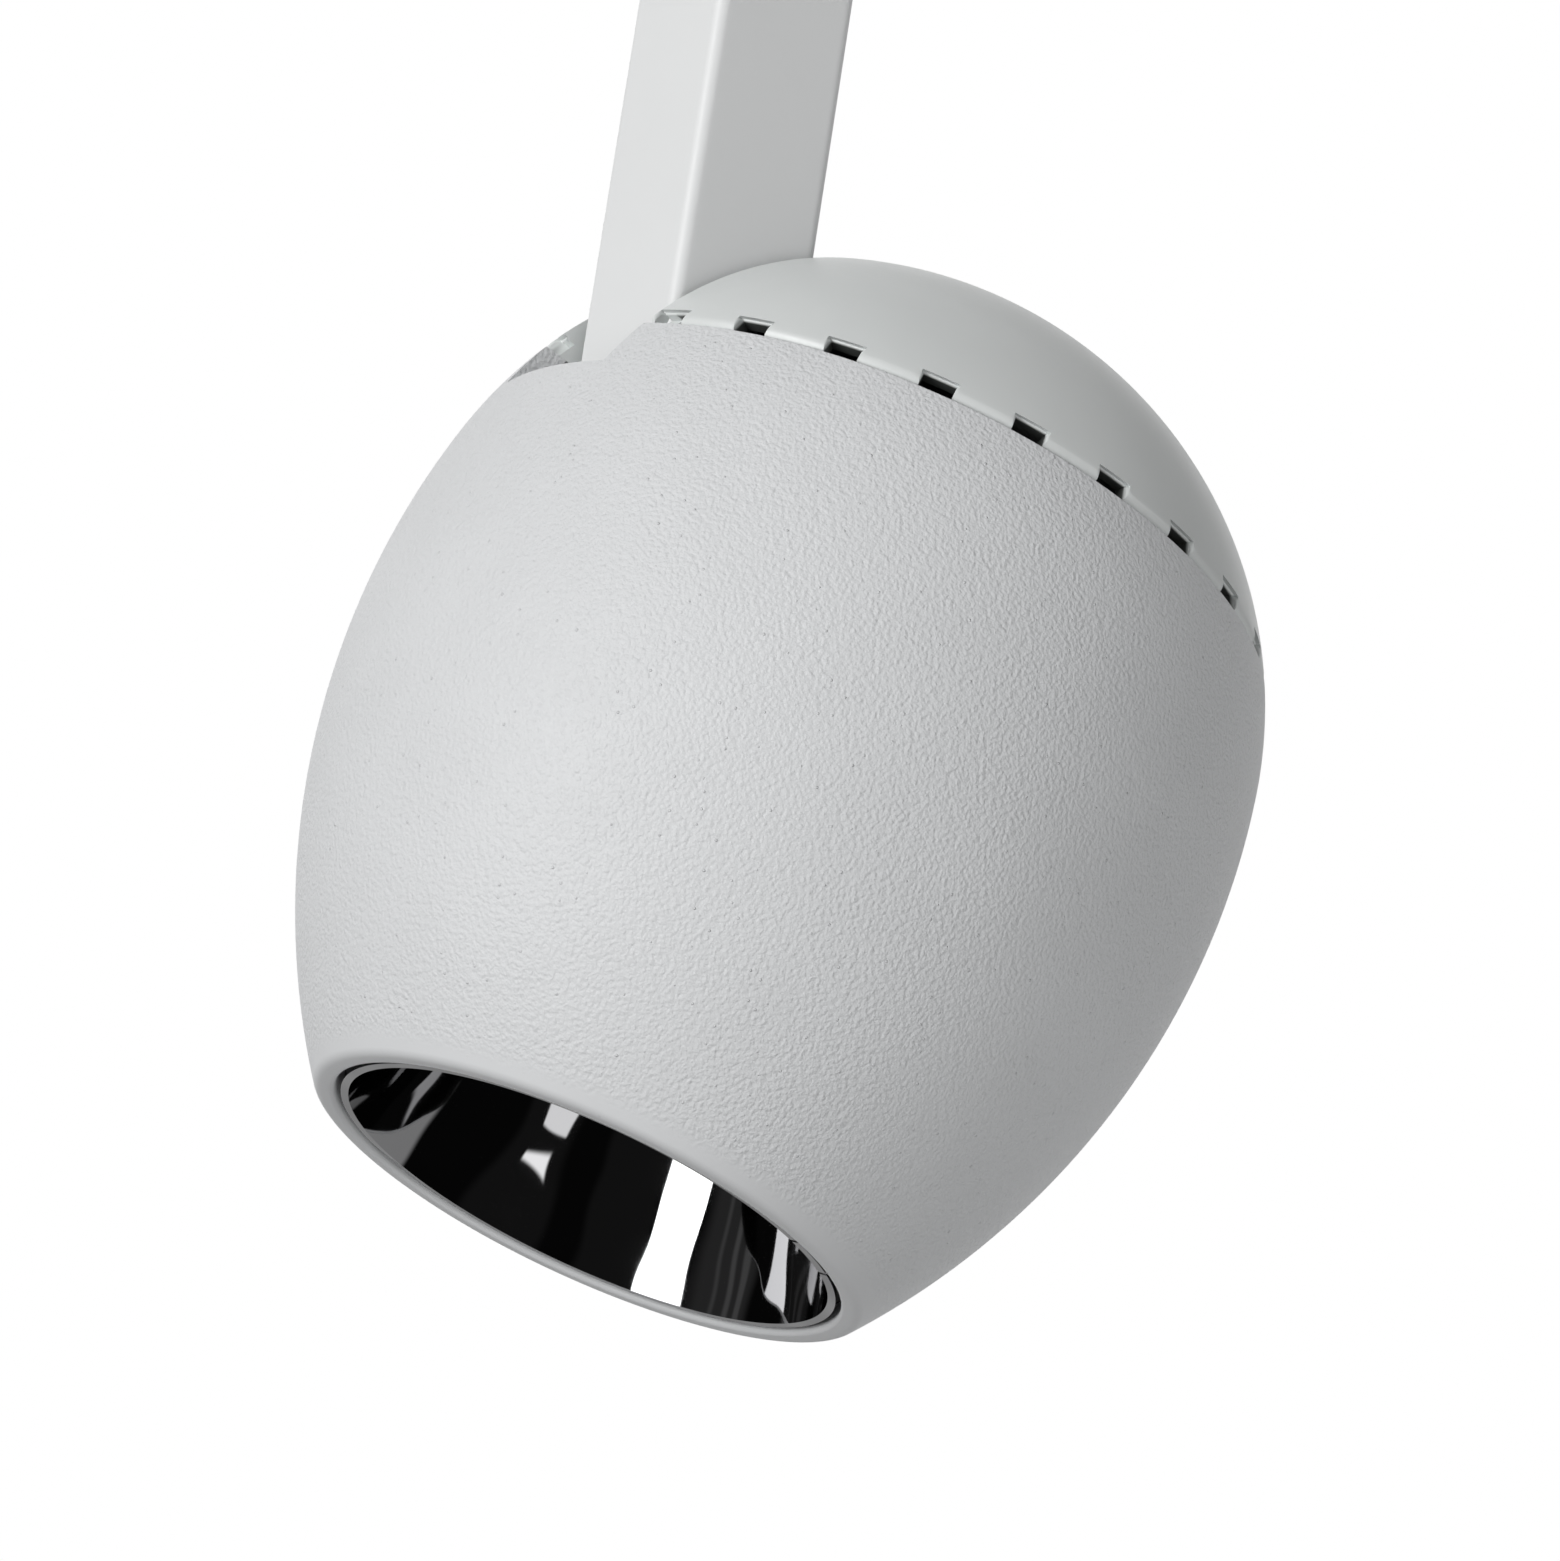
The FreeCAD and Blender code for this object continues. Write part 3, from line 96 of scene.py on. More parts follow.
# Hooks that hold the cap, with a collar at their roots, and the shell's bosses for the heat sink
RIB_INSET = (CAP_WALL + CAP_RIM_ROUND) / 2
HOOK_ANGLES = (90, 198, 342)
HOOK_WIDTH = 0.0157
HOOK_DROP = 0.0060
HOOK_WALL = 0.0016
HOOK_FIT = 0.00015
COLLAR_RISE = 0.0024
BOSS_ANGLES = (90, 210, 330)
BOSS_CIRCLE = 0.03714
BOSS_RADIUS = 0.0034
BOSS_PILOT_RADIUS = 0.00155
BOSS_FOOT = -0.0280
BOSS_TOP = -0.0100
PILOT_FOOT = -0.0220
BOSS_RIB_WIDTH = 0.0020
BOSS_RIB_TOP = -0.0120

# Reflector bowl, the dark ring round it and the light source
REFLECTOR_GAP = 0.0007
REFLECTOR_WALL = 0.0009
REFLECTOR_RECESS = 0.0005
REFLECTOR_NECK_RADIUS = 0.0090
REFLECTOR_TOP = -0.0150
RIM_ROUND = 0.00012
RING_HEIGHT = 0.0030
RING_FIT = 0.00009
NICK_ANGLES = (19.0, 35.0)
NICK_WIDTH = 0.0005
NICK_DEPTH = 0.0004
LIGHT_DISC_TOP = -0.0120
LIGHT_DISC_RADIUS = 0.0072
LIGHT_DISC_HEIGHT = 0.0008
LIGHT_DAM_WIDTH = 0.0009
LIGHT_GEL_DIP = 0.00025
LIGHT_GEL_INSET = 0.00108

# Arm, swivel plate and canopy
ARM_EDGE_ROUND = 0.0013
ARM_INNER_ROUND = 0.0005
ARM_WALL = 0.0018
ARM_END_ROUND = 0.0003
BUSH_HOLE_RADIUS = 0.0036
STEM_HOLE_RADIUS = 0.0065
STEM_FIT = 0.000045
PIN_HOLE_RADIUS = 0.0013
PIN_RISES = (0.0072, 0.0942)
CANOPY_WALL = 0.0020
CANOPY_ROUND = 0.0050
SEAT_ANGLES = (30, 150, 270)
SEAT_RADIUS = 0.0029
SEAT_DEPTH = 0.0010
SCREW_HOLE_RADIUS = 0.00155
PLATE_ROUND = 0.0015
FINE_ROUND = 0.0002
OVERRUN = 0.0010

# Noise values between which clouds, changes of gloss and the bloom on rubber come and go
CLOUD_EDGES = (0.35, 0.65)
GLOSS_EDGES = (0.3, 0.7)
BLOOM_EDGES = (0.45, 0.75)
BLOOM_SHARE = 0.5
BLOOM_PALENESS = 0.03

# White powder coat: sizes of bumps, flecks, pinholes and clouds are in grains
COAT_COLOUR = (0.80, 0.81, 0.82)
COAT_GRAIN = 0.00047
COAT_DEPTH = 0.0003
GRAIN_SHARE = 0.65
BUMP_SIZE = 1.1
BUMP_SHARE = -0.25
BUMP_SMOOTHNESS = 0.8
FLECK_CELLS = 4
FLECK_EDGES = (0.04, 0.1)
FLECK_RISE = 0.35
PINHOLE_CELLS = 9
PINHOLE_EDGES = (0.035, 0.06)
COAT_CLOUD_SIZE = 40
COAT_CLOUD_SHARE = 0.25
COAT_DARKER = 0.9

# Moulded plastic's eroded texture
PLASTIC_GRAIN = 0.00025
PLASTIC_DEPTH = 0.000004

# Dark painted shade inside the rear cap, in its vents and under its rim: the depths under the skin between which
# it begins
PAINTED_SHADE_COLOUR = (0.10, 0.105, 0.10)
PAINTED_SHADE_DEPTHS = (0.0005, 0.0010)
PAINTED_SHADE_BLUR = 0.0004

# Chips under the light source's gel
CHIP_SIZE = 0.0011
CHIP_EDGE = 0.25
CHIP_SHARE = 0.6
CHIP_COLOUR = (0.80, 0.55, 0.08)

# Facets, and the angles from which edges are sharp and get a bevel
AROUND = 384
BOWL_AROUND = 512
PLATE_AROUND = 192
DISC_AROUND = 128
ROD_AROUND = 48
ALONG_ARC = 72
ROUND_STEPS = 10
FINE_STEPS = 4
ARM_SIDE_STEPS = 40
ARM_ROWS = 24
CREASE_DEGREES = 32
BEVEL_DEGREES = 40
BEVEL_STEPS = 2
SAME_POINT = 1e-8
NO_FANS = np.zeros((0, 3), int)

joint = {entry["name"]: entry for entry in frame["joints"]}
PIVOT = Vector(joint["tilt"]["pos_m"])
REST_TILT = math.radians(-joint["tilt"]["range_deg"][0])
ARM_LOW, ARM_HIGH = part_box("arm_tube")
PLATE_LOW, PLATE_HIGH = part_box("swivel_plate")
COVER_LOW, COVER_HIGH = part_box("canopy_cover")
ARM_SIZE = ARM_HIGH.x - ARM_LOW.x
PIVOT_HEIGHT = SEAM_HEIGHT + PIVOT_ABOVE_SEAM
HALF_SLOT = ARM_SIZE / 2 + SLOT_SIDE_GAP
SLOT_FLOOR = PIVOT_OFFSET - ARM_SIZE / 2 - BODY_GAP
NOTCH_HEIGHT = PIVOT_HEIGHT - ARM_SIZE / 2 - BODY_GAP
FLANK_OFFSET = FLANK_RADIUS - HEAD_RADIUS
DOME_RADIUS = FLANK_RADIUS - math.hypot(FLANK_OFFSET, DOME_CENTRE_HEIGHT)
TANGENT = math.degrees(math.atan2(DOME_CENTRE_HEIGHT, FLANK_OFFSET))
FLANK_CENTRE = (-FLANK_OFFSET, 0)
DOME_CENTRE = (0, DOME_CENTRE_HEIGHT)
MOUTH_OUTER = math.sqrt(FLANK_RADIUS ** 2 - MOUTH_DEPTH ** 2) - FLANK_OFFSET
MOUTH_RADIUS = MOUTH_OUTER - LIP_WIDTH
REFLECTOR_RADIUS = MOUTH_RADIUS - REFLECTOR_GAP
REFLECTOR_MOUTH = REFLECTOR_RECESS - MOUTH_DEPTH

# Camera: its distance and turn about the head's middle, matched to the photograph
FRAME_SIZE = (1560, 1561)
FOCAL_PIXELS = 5400
SENSOR_MM = 36
CAMERA_AZIMUTH = -34.14
CAMERA_ELEVATION = -10.65
CAMERA_ROLL = 8.66
CAMERA_DISTANCE = 0.59121
CAMERA_RIGHT = -0.000905
CAMERA_UP = -0.001705
CAMERA_NEAREST = 0.01

# Studio: a tall soft lamp on the left, broad glows low on the right and behind the object, a room that
# is pale behind the object and dark behind the camera, and a ceiling
KEY_DISTANCE = 1.5
KEY_AZIMUTH = -77.5
KEY_ELEVATION = 8.0
KEY_SIZE = (0.66, 1.40)
KEY_POWER = 18.4
FILL_AZIMUTH = 12.0
FILL_ELEVATION = -30.0
FILL_LEVEL = 1.11
FILL_SPREAD = 4.0
BACK_LEVEL = 1.1
BACK_SPREAD = 6.0
ROOM_SLOPE = (-0.609, 0.189, 0.147)
ROOM_LEVEL = -0.072
CEILING_LEVEL = 0.3
CEILING_ELEVATION = 45
CEILING_BLUR = 3
BACKDROP_EDGES = (0.78, 0.95)
DARK_SIDE_LEVEL = 0.005
DARK_SIDE_AZIMUTHS = (-155, -60)
DARK_SIDE_BLUR = 6
FLOOR_DROP = 0.60
FLOOR_SIZE = 14.0
FLOOR_GLOW = 0.72
FLOOR_COLOUR = (0.35, 0.35, 0.35)
FLOOR_CLOUD = (0.34, 0.34, 0.34)
FLOOR_CLOUD_SIZE = 0.25
FLOOR_CLOUD_SHARE = 0.4

# Cards that only glossy rays see: azimuths, elevations, level, blur, and the lean of the lower and upper
# edge in degrees for each degree of azimuth
CARDS = {
    "upper_softbox": ((-12.5, 5), (-20.3, -17.2), 2.6, 0.9, (-0.15, -0.36)),
    "lower_softbox": ((-16.5, 3), (-40, -26.3), 2.0, 0.7, (0, -0.25)),
    "grey_wall": ((58, 100), (-30, -12), 0.5, 2),
    "side_panel": ((10, 62), (15, 50), 1.0, 4),
    "dim_wall": ((-64, -38), (-40, 12), 0.012, 3),
    "dim_floor": ((-20, 16), (-40, 0), 0.012, 3),
    "striped_wall": ((-126, -93), (-20, 12), 0.045, 4),
    "first_stripe": ((-121, -117), (-20, 12), 0.09, 1),
    "second_stripe": ((-113, -110), (-20, 12), 0.09, 1),
    "third_stripe": ((-104, -102), (-20, 12), 0.06, 1),
}


def facing(azimuth, elevation):
    """Unit vector that points at an azimuth from +X and an elevation, both in degrees."""
    turn, rise = math.radians(azimuth), math.radians(elevation)
    across = math.cos(rise)
    return Vector((across * math.cos(turn), across * math.sin(turn), math.sin(rise)))


def looking_from(place, back, roll):
    """Matrix of a camera or lamp at a place, with its back to a direction, rolled by some degrees."""
    level = Vector((0, 0, 1)).cross(back).normalized()
    upright = back.cross(level)
    turn = Matrix.Rotation(math.radians(roll), 3, back)
    right = turn @ level
    top = turn @ upright
    axes = Matrix((right, top, back)).transposed().to_4x4()
    axes.translation = place
    return axes


def head_point(local):
    """Place in the row's frame of one point of the head's own frame."""
    return Vector(lean(np.array([local], float))[0])


def lean(points):
    """Carry points of the head's own frame to the row's frame.

    The head hangs from the pivot: shift the pivot to the origin, turn about X by the rest tilt,
    then move to the pivot's place.
    """
    across = points[..., 1] + PIVOT_OFFSET
    upward = points[..., 2] - PIVOT_HEIGHT
    cosine, sine = math.cos(REST_TILT), math.sin(REST_TILT)
    back, up = across * cosine + upward * sine, upward * cosine - across * sine
    return np.stack([points[..., 0], back, up], -1) + np.array(PIVOT)


def add_camera():
    """Camera at the photograph's viewing angle."""
    data = bpy.data.cameras.new("camera")
    data.sensor_fit = "HORIZONTAL"
    data.sensor_width = SENSOR_MM
    data.lens = FOCAL_PIXELS * SENSOR_MM / FRAME_SIZE[0]
    data.clip_start = CAMERA_NEAREST
    camera = bpy.data.objects.new("camera", data)
    back = facing(CAMERA_AZIMUTH, CAMERA_ELEVATION)
    axes = looking_from(Vector(), back, CAMERA_ROLL)
    shift = axes @ Vector((CAMERA_RIGHT, CAMERA_UP, CAMERA_DISTANCE))
    axes.translation = head_point((0, 0, 0)) + shift
    camera.matrix_world = axes
    bpy.context.scene.collection.objects.link(camera)
    bpy.context.scene.camera = camera


def arc(centre, radius, start, end, steps):
    """Points on a circle from one angle to another, in degrees, as radius and height pairs."""
    angle = np.radians(np.linspace(start, end, steps + 1))
    return np.stack([centre[0] + radius * np.cos(angle), centre[1] + radius * np.sin(angle)], -1)


def rim_round(centre, radius, height, rounding, side):
    """Rounding between a large arc and a level line above (side 1) or below (side -1) it.

    The small circle's middle lies one rounding inside both, so it touches the large circle on the
    line through both middles.
    """
    level = height - side * rounding
    reach = math.sqrt((radius - rounding) ** 2 - (level - centre[1]) ** 2)
    slope = math.degrees(math.atan2(level - centre[1], reach))
    return arc((centre[0] + reach, level), rounding, slope, side * 90, ROUND_STEPS)


def path(*pieces):
    """Join pieces of an outline and drop points that repeat."""
    points = np.concatenate([np.atleast_2d(piece) for piece in pieces])
    step = np.linalg.norm(np.diff(points, axis=0), axis=1)
    return points[np.concatenate([[True], step > SAME_POINT])]


def grid_faces(rows, columns, wrap_rows):
    """Corner numbers of the quads of a grid whose columns wrap round, and whose rows may."""
    row = np.arange(rows if wrap_rows else rows - 1)[:, None]
    column = np.arange(columns)[None, :]
    below, beside = (row + 1) % rows, (column + 1) % columns
    quads = np.stack([row * columns + column, row * columns + beside,
                      below * columns + beside, below * columns + column], -1)
    return quads.reshape(-1, 4)


def end_fans(columns, last_row, first_pole, last_pole):
    """Triangles that join the first ring of points to one pole and the last ring to another."""
    step = np.arange(columns)
    beside = (step + 1) % columns
    first = np.stack([np.full(columns, first_pole), beside, step], -1)
    last = np.stack([np.full(columns, last_pole), last_row + step, last_row + beside], -1)
    return np.concatenate([first, last])


def outward(points, quads, fans):
    """Turn all faces round if the closed surface's signed volume is negative."""
    triangles = np.concatenate([quads[:, [0, 1, 2]], quads[:, [0, 2, 3]], fans])
    first, second, third = (points[triangles[:, corner]] for corner in range(3))
    if np.einsum("ij,ij->i", first, np.cross(second, third)).sum() < 0:
        return quads[:, ::-1], fans[:, ::-1]
    return quads, fans


def mesh_of(name, points, quads, fans=NO_FANS):
    """Mesh from points, quads and triangles given as whole arrays."""
    quads, fans = outward(points, quads, fans)
    corners = np.concatenate([quads.ravel(), fans.ravel()])
    starts = np.concatenate([np.arange(len(quads)) * 4, len(quads) * 4 + np.arange(len(fans)) * 3])
    mesh = bpy.data.meshes.new(name)
    mesh.vertices.add(len(points))
    mesh.vertices.foreach_set("co", points.astype(np.float32).ravel())
    mesh.loops.add(len(corners))
    mesh.loops.foreach_set("vertex_index", corners.astype(np.int32))
    mesh.polygons.add(len(starts))
    mesh.polygons.foreach_set("loop_start", starts.astype(np.int32))
    mesh.update(calc_edges=True)
    mesh.validate()
    return mesh


def head_tool(name, points, *faces):
    """Mesh of points of the head's own frame."""
    return mesh_of(name, lean(points), *faces)


def turned_mesh(name, outline, place, around=AROUND):
    """Surface of revolution of a closed outline of radius and height pairs about Z.

    Each outline point runs round a circle in equal steps. An outline that starts and ends on the axis
    gets one point at each pole and a fan of triangles to its nearest circle.
    """
    poles = outline[0, 0] == 0
    rings = outline[1:-1] if poles else outline
    angle = np.arange(around) * 2 * np.pi / around
    points = np.stack([rings[:, :1] * np.cos(angle), rings[:, :1] * np.sin(angle),
                       np.broadcast_to(rings[:, 1:], (len(rings), around))], -1).reshape(-1, 3)
    quads = grid_faces(len(rings), around, not poles)
    fans = NO_FANS
    if poles:
        last = len(points)
        fans = end_fans(around, last - around, last, last + 1)
        ends = np.array([[0, 0, outline[0, 1]], [0, 0, outline[-1, 1]]])
        points = np.concatenate([points, ends])
    return mesh_of(name, place(points), quads, fans)


def repeated(points, faces, angles):
    """Points turned to each of some angles about Z, and each set of faces numbered to match."""
    turn = np.radians(np.atleast_1d(angles))[:, None]
    copies = np.stack([points[:, 0] * np.cos(turn) - points[:, 1] * np.sin(turn),
                       points[:, 0] * np.sin(turn) + points[:, 1] * np.cos(turn),
                       np.broadcast_to(points[:, 2], (len(turn), len(points)))], -1).reshape(-1, 3)
    first = len(points) * np.arange(len(turn))[:, None, None]
    return (copies, *((each[None] + first).reshape(-1, each.shape[1]) for each in faces))


def blocks(size, middle, angles):
    """Points and quads of one box, repeated at angles about Z."""
    signs = np.array([[x, y, z] for x in (-1, 1) for y in (-1, 1) for z in (-1, 1)])
    box = np.array(middle) + signs * np.array(size) / 2
    sides = np.array([[0, 1, 3, 2], [4, 6, 7, 5], [0, 4, 5, 1], [2, 3, 7, 6], [0, 2, 6, 4], [1, 5, 7, 3]])
    return repeated(box, [sides], angles)


def rods(radius, start, end, middle, angles, upright=False):
    """Points, quads and fans of one rod along X, or along Z if upright, repeated at angles about Z.

    Two circles about the rod's axis at its start and end are joined by quads and closed by fans. The
    axis passes through the middle point.
    """
    angle = np.arange(ROD_AROUND) * 2 * np.pi / ROD_AROUND
    ring = np.stack([np.zeros(ROD_AROUND), radius * np.cos(angle), radius * np.sin(angle)], -1)
    rod = np.concatenate([ring + [start, 0, 0], ring + [end, 0, 0], [[start, 0, 0], [end, 0, 0]]])
    if upright:
        rod = rod[:, [1, 2, 0]]
    fans = end_fans(ROD_AROUND, ROD_AROUND, 2 * ROD_AROUND, 2 * ROD_AROUND + 1)
    return repeated(rod + np.array(middle), [grid_faces(2, ROD_AROUND, False), fans], angles)


def combine(mesh, tool, operation):
    """Mesh joined with a tool (UNION), or the part outside it (DIFFERENCE) or inside it (INTERSECT)."""
    body = bpy.data.objects.new("body", mesh)
    other = bpy.data.objects.new("other", tool)
    for each in (body, other):
        bpy.context.scene.collection.objects.link(each)
    step = body.modifiers.new(operation.lower(), "BOOLEAN")
    step.operation = operation
    step.solver = "EXACT"
    step.object = other
    depsgraph = bpy.context.evaluated_depsgraph_get()
    result = bpy.data.meshes.new_from_object(body.evaluated_get(depsgraph))
    for each in (body, other):
        bpy.data.objects.remove(each)
    return result


def cut(mesh, tool):
    """Mesh with the room that a cutting tool takes removed."""
    return combine(mesh, tool, "DIFFERENCE")


def piece(name, mesh, slot, body, nodes, edge_round=0.0):
    """Finished piece: rounded edges, smooth faces with sharp creases, its material and its body."""
    mesh.name = name
    obj = bpy.data.objects.new(name, mesh)
    bpy.context.scene.collection.objects.link(obj)
    mesh.shade_smooth()
    mesh.set_sharp_from_angle(angle=math.radians(CREASE_DEGREES))
    if edge_round:
        bevel = obj.modifiers.new("edges", "BEVEL")
        bevel.limit_method = "ANGLE"
        bevel.angle_limit = math.radians(BEVEL_DEGREES)
        bevel.width = edge_round
        bevel.segments = BEVEL_STEPS
        bevel.miter_outer = "MITER_ARC"
        bevel.use_clamp_overlap = True
        bevel.harden_normals = True
    mesh.materials.clear()
    mesh.materials.append(FINISHES[slot])
    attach(obj, body)
    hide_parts(*nodes)


def dome_to_flank(inset, top_height, low_height):
    """Head outline moved in by an inset, from a height on the dome down to one on the flank."""
    dome = DOME_RADIUS - inset
    flank = FLANK_RADIUS - inset
    start = math.degrees(math.asin((top_height - DOME_CENTRE_HEIGHT) / dome))
    end = math.degrees(math.asin(low_height / flank))
    return path(arc(DOME_CENTRE, dome, start, TANGENT, ALONG_ARC // 3),
                arc(FLANK_CENTRE, flank, TANGENT, end, ALONG_ARC))


def arm_room(bottom):
    """Cutting tool for the room that the arm sweeps through in the head."""
    depth = HEAD_RADIUS + OVERRUN - SLOT_FLOOR
    height = 2 * HEAD_RADIUS - bottom
    middle = (0, -SLOT_FLOOR - depth / 2, bottom + height / 2)
    return head_tool("arm_room", *blocks((2 * HALF_SLOT, depth, height), middle, 0))


def shell_outline():
    """Wall of the front shell: seam edge, outer flank, rolled lip, bore and inner flank."""
    seam = rim_round(DOME_CENTRE, DOME_RADIUS, SEAM_HEIGHT, SEAM_ROUND, 1)[::-1]
    lip = rim_round(FLANK_CENTRE, FLANK_RADIUS, -MOUTH_DEPTH, LIP_ROUND, -1)
    inner_lip = arc((MOUTH_RADIUS + LIP_INNER_ROUND, LIP_INNER_ROUND - MOUTH_DEPTH), LIP_INNER_ROUND,
                    270, 180, ROUND_STEPS)
    outer = dome_to_flank(0, seam[-1, 1], lip[0, 1])
    ledge = LIP_BORE_HEIGHT - MOUTH_DEPTH
    inner = dome_to_flank(SHELL_WALL, SEAM_HEIGHT, ledge)[::-1]
    return path(seam, outer, lip, inner_lip, (MOUTH_RADIUS, ledge), inner)


def boss_ribs():
    """Webs from the bosses into the shell's wall, ended inside it by the flank's arc moved in by half."""
    reach = HEAD_RADIUS - BOSS_CIRCLE
    size = (reach, BOSS_RIB_WIDTH, BOSS_RIB_TOP - BOSS_FOOT)
    middle = (BOSS_CIRCLE + reach / 2, 0, (BOSS_RIB_TOP + BOSS_FOOT) / 2)
    webs = head_tool("webs", *blocks(size, middle, BOSS_ANGLES))
    low, high = BOSS_FOOT - OVERRUN, BOSS_TOP + OVERRUN
    flank = FLANK_RADIUS - SHELL_WALL / 2
    ends = [math.degrees(math.asin(height / flank)) for height in (low, high)]
    limit = path((0, low), arc(FLANK_CENTRE, flank, *ends, ALONG_ARC), (0, high))
    return combine(webs, turned_mesh("web_limit", limit, lean), "INTERSECT")


def front_shell():
    """Cast front shell: turned wall with a notch for the arm and three bosses for the heat sink."""
    blank = turned_mesh("front_shell_blank", shell_outline(), lean)
    notched = cut(blank, arm_room(NOTCH_HEIGHT))
    ribbed = combine(notched, boss_ribs(), "UNION")
    stand = (BOSS_CIRCLE, 0, 0)
    bosses = head_tool("bosses", *rods(BOSS_RADIUS, BOSS_FOOT, BOSS_TOP, stand, BOSS_ANGLES, True))
    above = BOSS_TOP + OVERRUN
    pilots = head_tool("pilots", *rods(BOSS_PILOT_RADIUS, PILOT_FOOT, above, stand, BOSS_ANGLES, True))
    joined = cut(combine(ribbed, bosses, "UNION"), pilots)
    piece("front_shell_skin", joined, "shell_paint", "head", ["front_shell"], CUT_EDGE_ROUND)


def dome_side(inset, start, end):
    """Arc of the dome moved in by an inset, from one height to another. The pole stands for no start."""
    radius = DOME_RADIUS - inset
    angles = [90 if height is None else math.degrees(math.asin((height - DOME_CENTRE_HEIGHT) / radius))
              for height in (start, end)]
    points = arc(DOME_CENTRE, radius, *angles, ALONG_ARC)
    if start is None:
        points[0, 0] = 0
    return points


def cap_outline():
    """Dome of the rear cap: outer pole, rounded rim, level edge, inner pole."""
    rim = rim_round(DOME_CENTRE, DOME_RADIUS, SEAM_HEIGHT, CAP_RIM_ROUND, -1)
    return path(dome_side(0, None, rim[0, 1]), rim, dome_side(CAP_WALL, None, SEAM_HEIGHT)[::-1])


def cap_radius(height):
    """Outer radius of the cap at heights from its level edge up: the rim's small arc, then the dome."""
    level = SEAM_HEIGHT + CAP_RIM_ROUND
    middle = math.sqrt((DOME_RADIUS - CAP_RIM_ROUND) ** 2 - (level - DOME_CENTRE_HEIGHT) ** 2)
    small = middle + np.sqrt(np.maximum(CAP_RIM_ROUND ** 2 - (height - level) ** 2, 0))
    dome = np.sqrt(DOME_RADIUS ** 2 - (height - DOME_CENTRE_HEIGHT) ** 2)
    return np.where(height < level, small, np.minimum(small, dome))


def vent_tools():
    """Cutting tool for the vents round the cap's rim, flared so that it leaves round edges.

    Each is a row of door-shaped loops along the radius. A loop's sides follow the cap's outer radius at
    their height, and towards it the loop widens and rises by the sagitta of a small arc: the rounding
    minus the root of the rounding squared minus the run squared.
    """
    run = np.linspace(0, VENT_EDGE_ROUND, ROUND_STEPS + 1)
    flare = VENT_EDGE_ROUND - np.sqrt(VENT_EDGE_ROUND ** 2 - run ** 2)
    share = np.linspace(0, 1, ROUND_STEPS + 1)
    share = np.concatenate([share, share[::-1]])
    side = np.repeat([-1.0, 1.0], ROUND_STEPS + 1)
    skin = cap_radius(SEAM_HEIGHT + share * VENT_HEIGHT)
    inside = np.full(len(share), HEAD_RADIUS / 2)
    outside = np.full(len(share), HEAD_RADIUS + OVERRUN)
    radius = np.stack([inside, *(skin - VENT_EDGE_ROUND + step for step in run), outside])
    grown = np.concatenate([[0], flare, flare[-1:]])[:, None]
    across = side * (VENT_WIDTH / 2 + grown)
    height = SEAM_HEIGHT - OVERRUN + share * (VENT_HEIGHT + OVERRUN + grown)
    loops = np.stack([radius, across, height], -1)
    rows, columns = radius.shape
    points = np.concatenate([loops.reshape(-1, 3), loops[[0, -1]].mean(axis=1)])
    fans = end_fans(columns, (rows - 1) * columns, rows * columns, rows * columns + 1)
    angles = np.arange(VENT_COUNT) * 360 / VENT_COUNT - 90 + VENT_TURN
    return head_tool("vent_tools", *repeated(points, [grid_faces(rows, columns, False), fans], angles))


def slot_cheeks():
    """Walls inside the dome along the slot's sides and floor, cleared round the bracket's lugs."""
    foot = SEAM_HEIGHT + SKIN
    outline = path(dome_side(RIB_INSET, None, foot), dome_side(SLOT_CHEEK_DEPTH, None, foot)[::-1])
    band = turned_mesh("cheek_band", outline, lean)
    low, high = -HEAD_RADIUS, SLOT_CHEEK_WALL - SLOT_FLOOR
    size = (2 * (HALF_SLOT + SLOT_CHEEK_WALL), high - low, HEAD_RADIUS)
    room = head_tool("cheek_room", *blocks(size, (0, (low + high) / 2, SEAM_HEIGHT), 0))
    pivot = (0, -PIVOT_OFFSET, PIVOT_HEIGHT)
    lugs = head_tool("lug_room", *rods(LUG_RADIUS + BODY_GAP, -HEAD_RADIUS, HEAD_RADIUS, pivot, 0))
    return cut(combine(band, room, "INTERSECT"), lugs)


def cap_hooks():
    """Three tongues that snap into the shell, each with a thicker root under the cap's rim."""
    inset = SHELL_WALL + HOOK_FIT
    low, root, high = SEAM_HEIGHT - HOOK_DROP, SEAM_HEIGHT + SKIN, SEAM_HEIGHT + COLLAR_RISE
    outline = path(dome_side(RIB_INSET, high, root), dome_side(inset, root, low),
                   dome_side(inset + HOOK_WALL, low, high))
    band = turned_mesh("hook_band", outline, lean)
    size = (HEAD_RADIUS, HOOK_WIDTH, 2 * (high - low))
    room = head_tool("hook_room", *blocks(size, (HEAD_RADIUS, 0, (low + high) / 2), HOOK_ANGLES))
    return combine(band, room, "INTERSECT")


def rear_cap():
    """Moulded rear cap: turned dome with vents, hooks, and a slot for the arm with cheek walls along it."""
    blank = turned_mesh("rear_cap_blank", cap_outline(), lean)
    vented = combine(cut(blank, vent_tools()), cut(cap_hooks(), vent_tools()), "UNION")
    cheeks_and_painted_shade = combine(vented, slot_cheeks(), "UNION")
    slotted = cut(cheeks_and_painted_shade, arm_room(0))
    piece("rear_cap_dome", slotted, "cap_plastic", "head", ["rear_cap"], CUT_EDGE_ROUND)


def circle_through(first, second, third):
    """Middle and radius of the circle through three points."""
    first, second, third = (np.array(point, float) for point in (first, second, third))
    matrix = 2 * np.array([second - first, third - first])
    values = np.array([second @ second - first @ first, third @ third - first @ first])
    middle = np.linalg.solve(matrix, values)
    return middle, np.linalg.norm(first - middle)


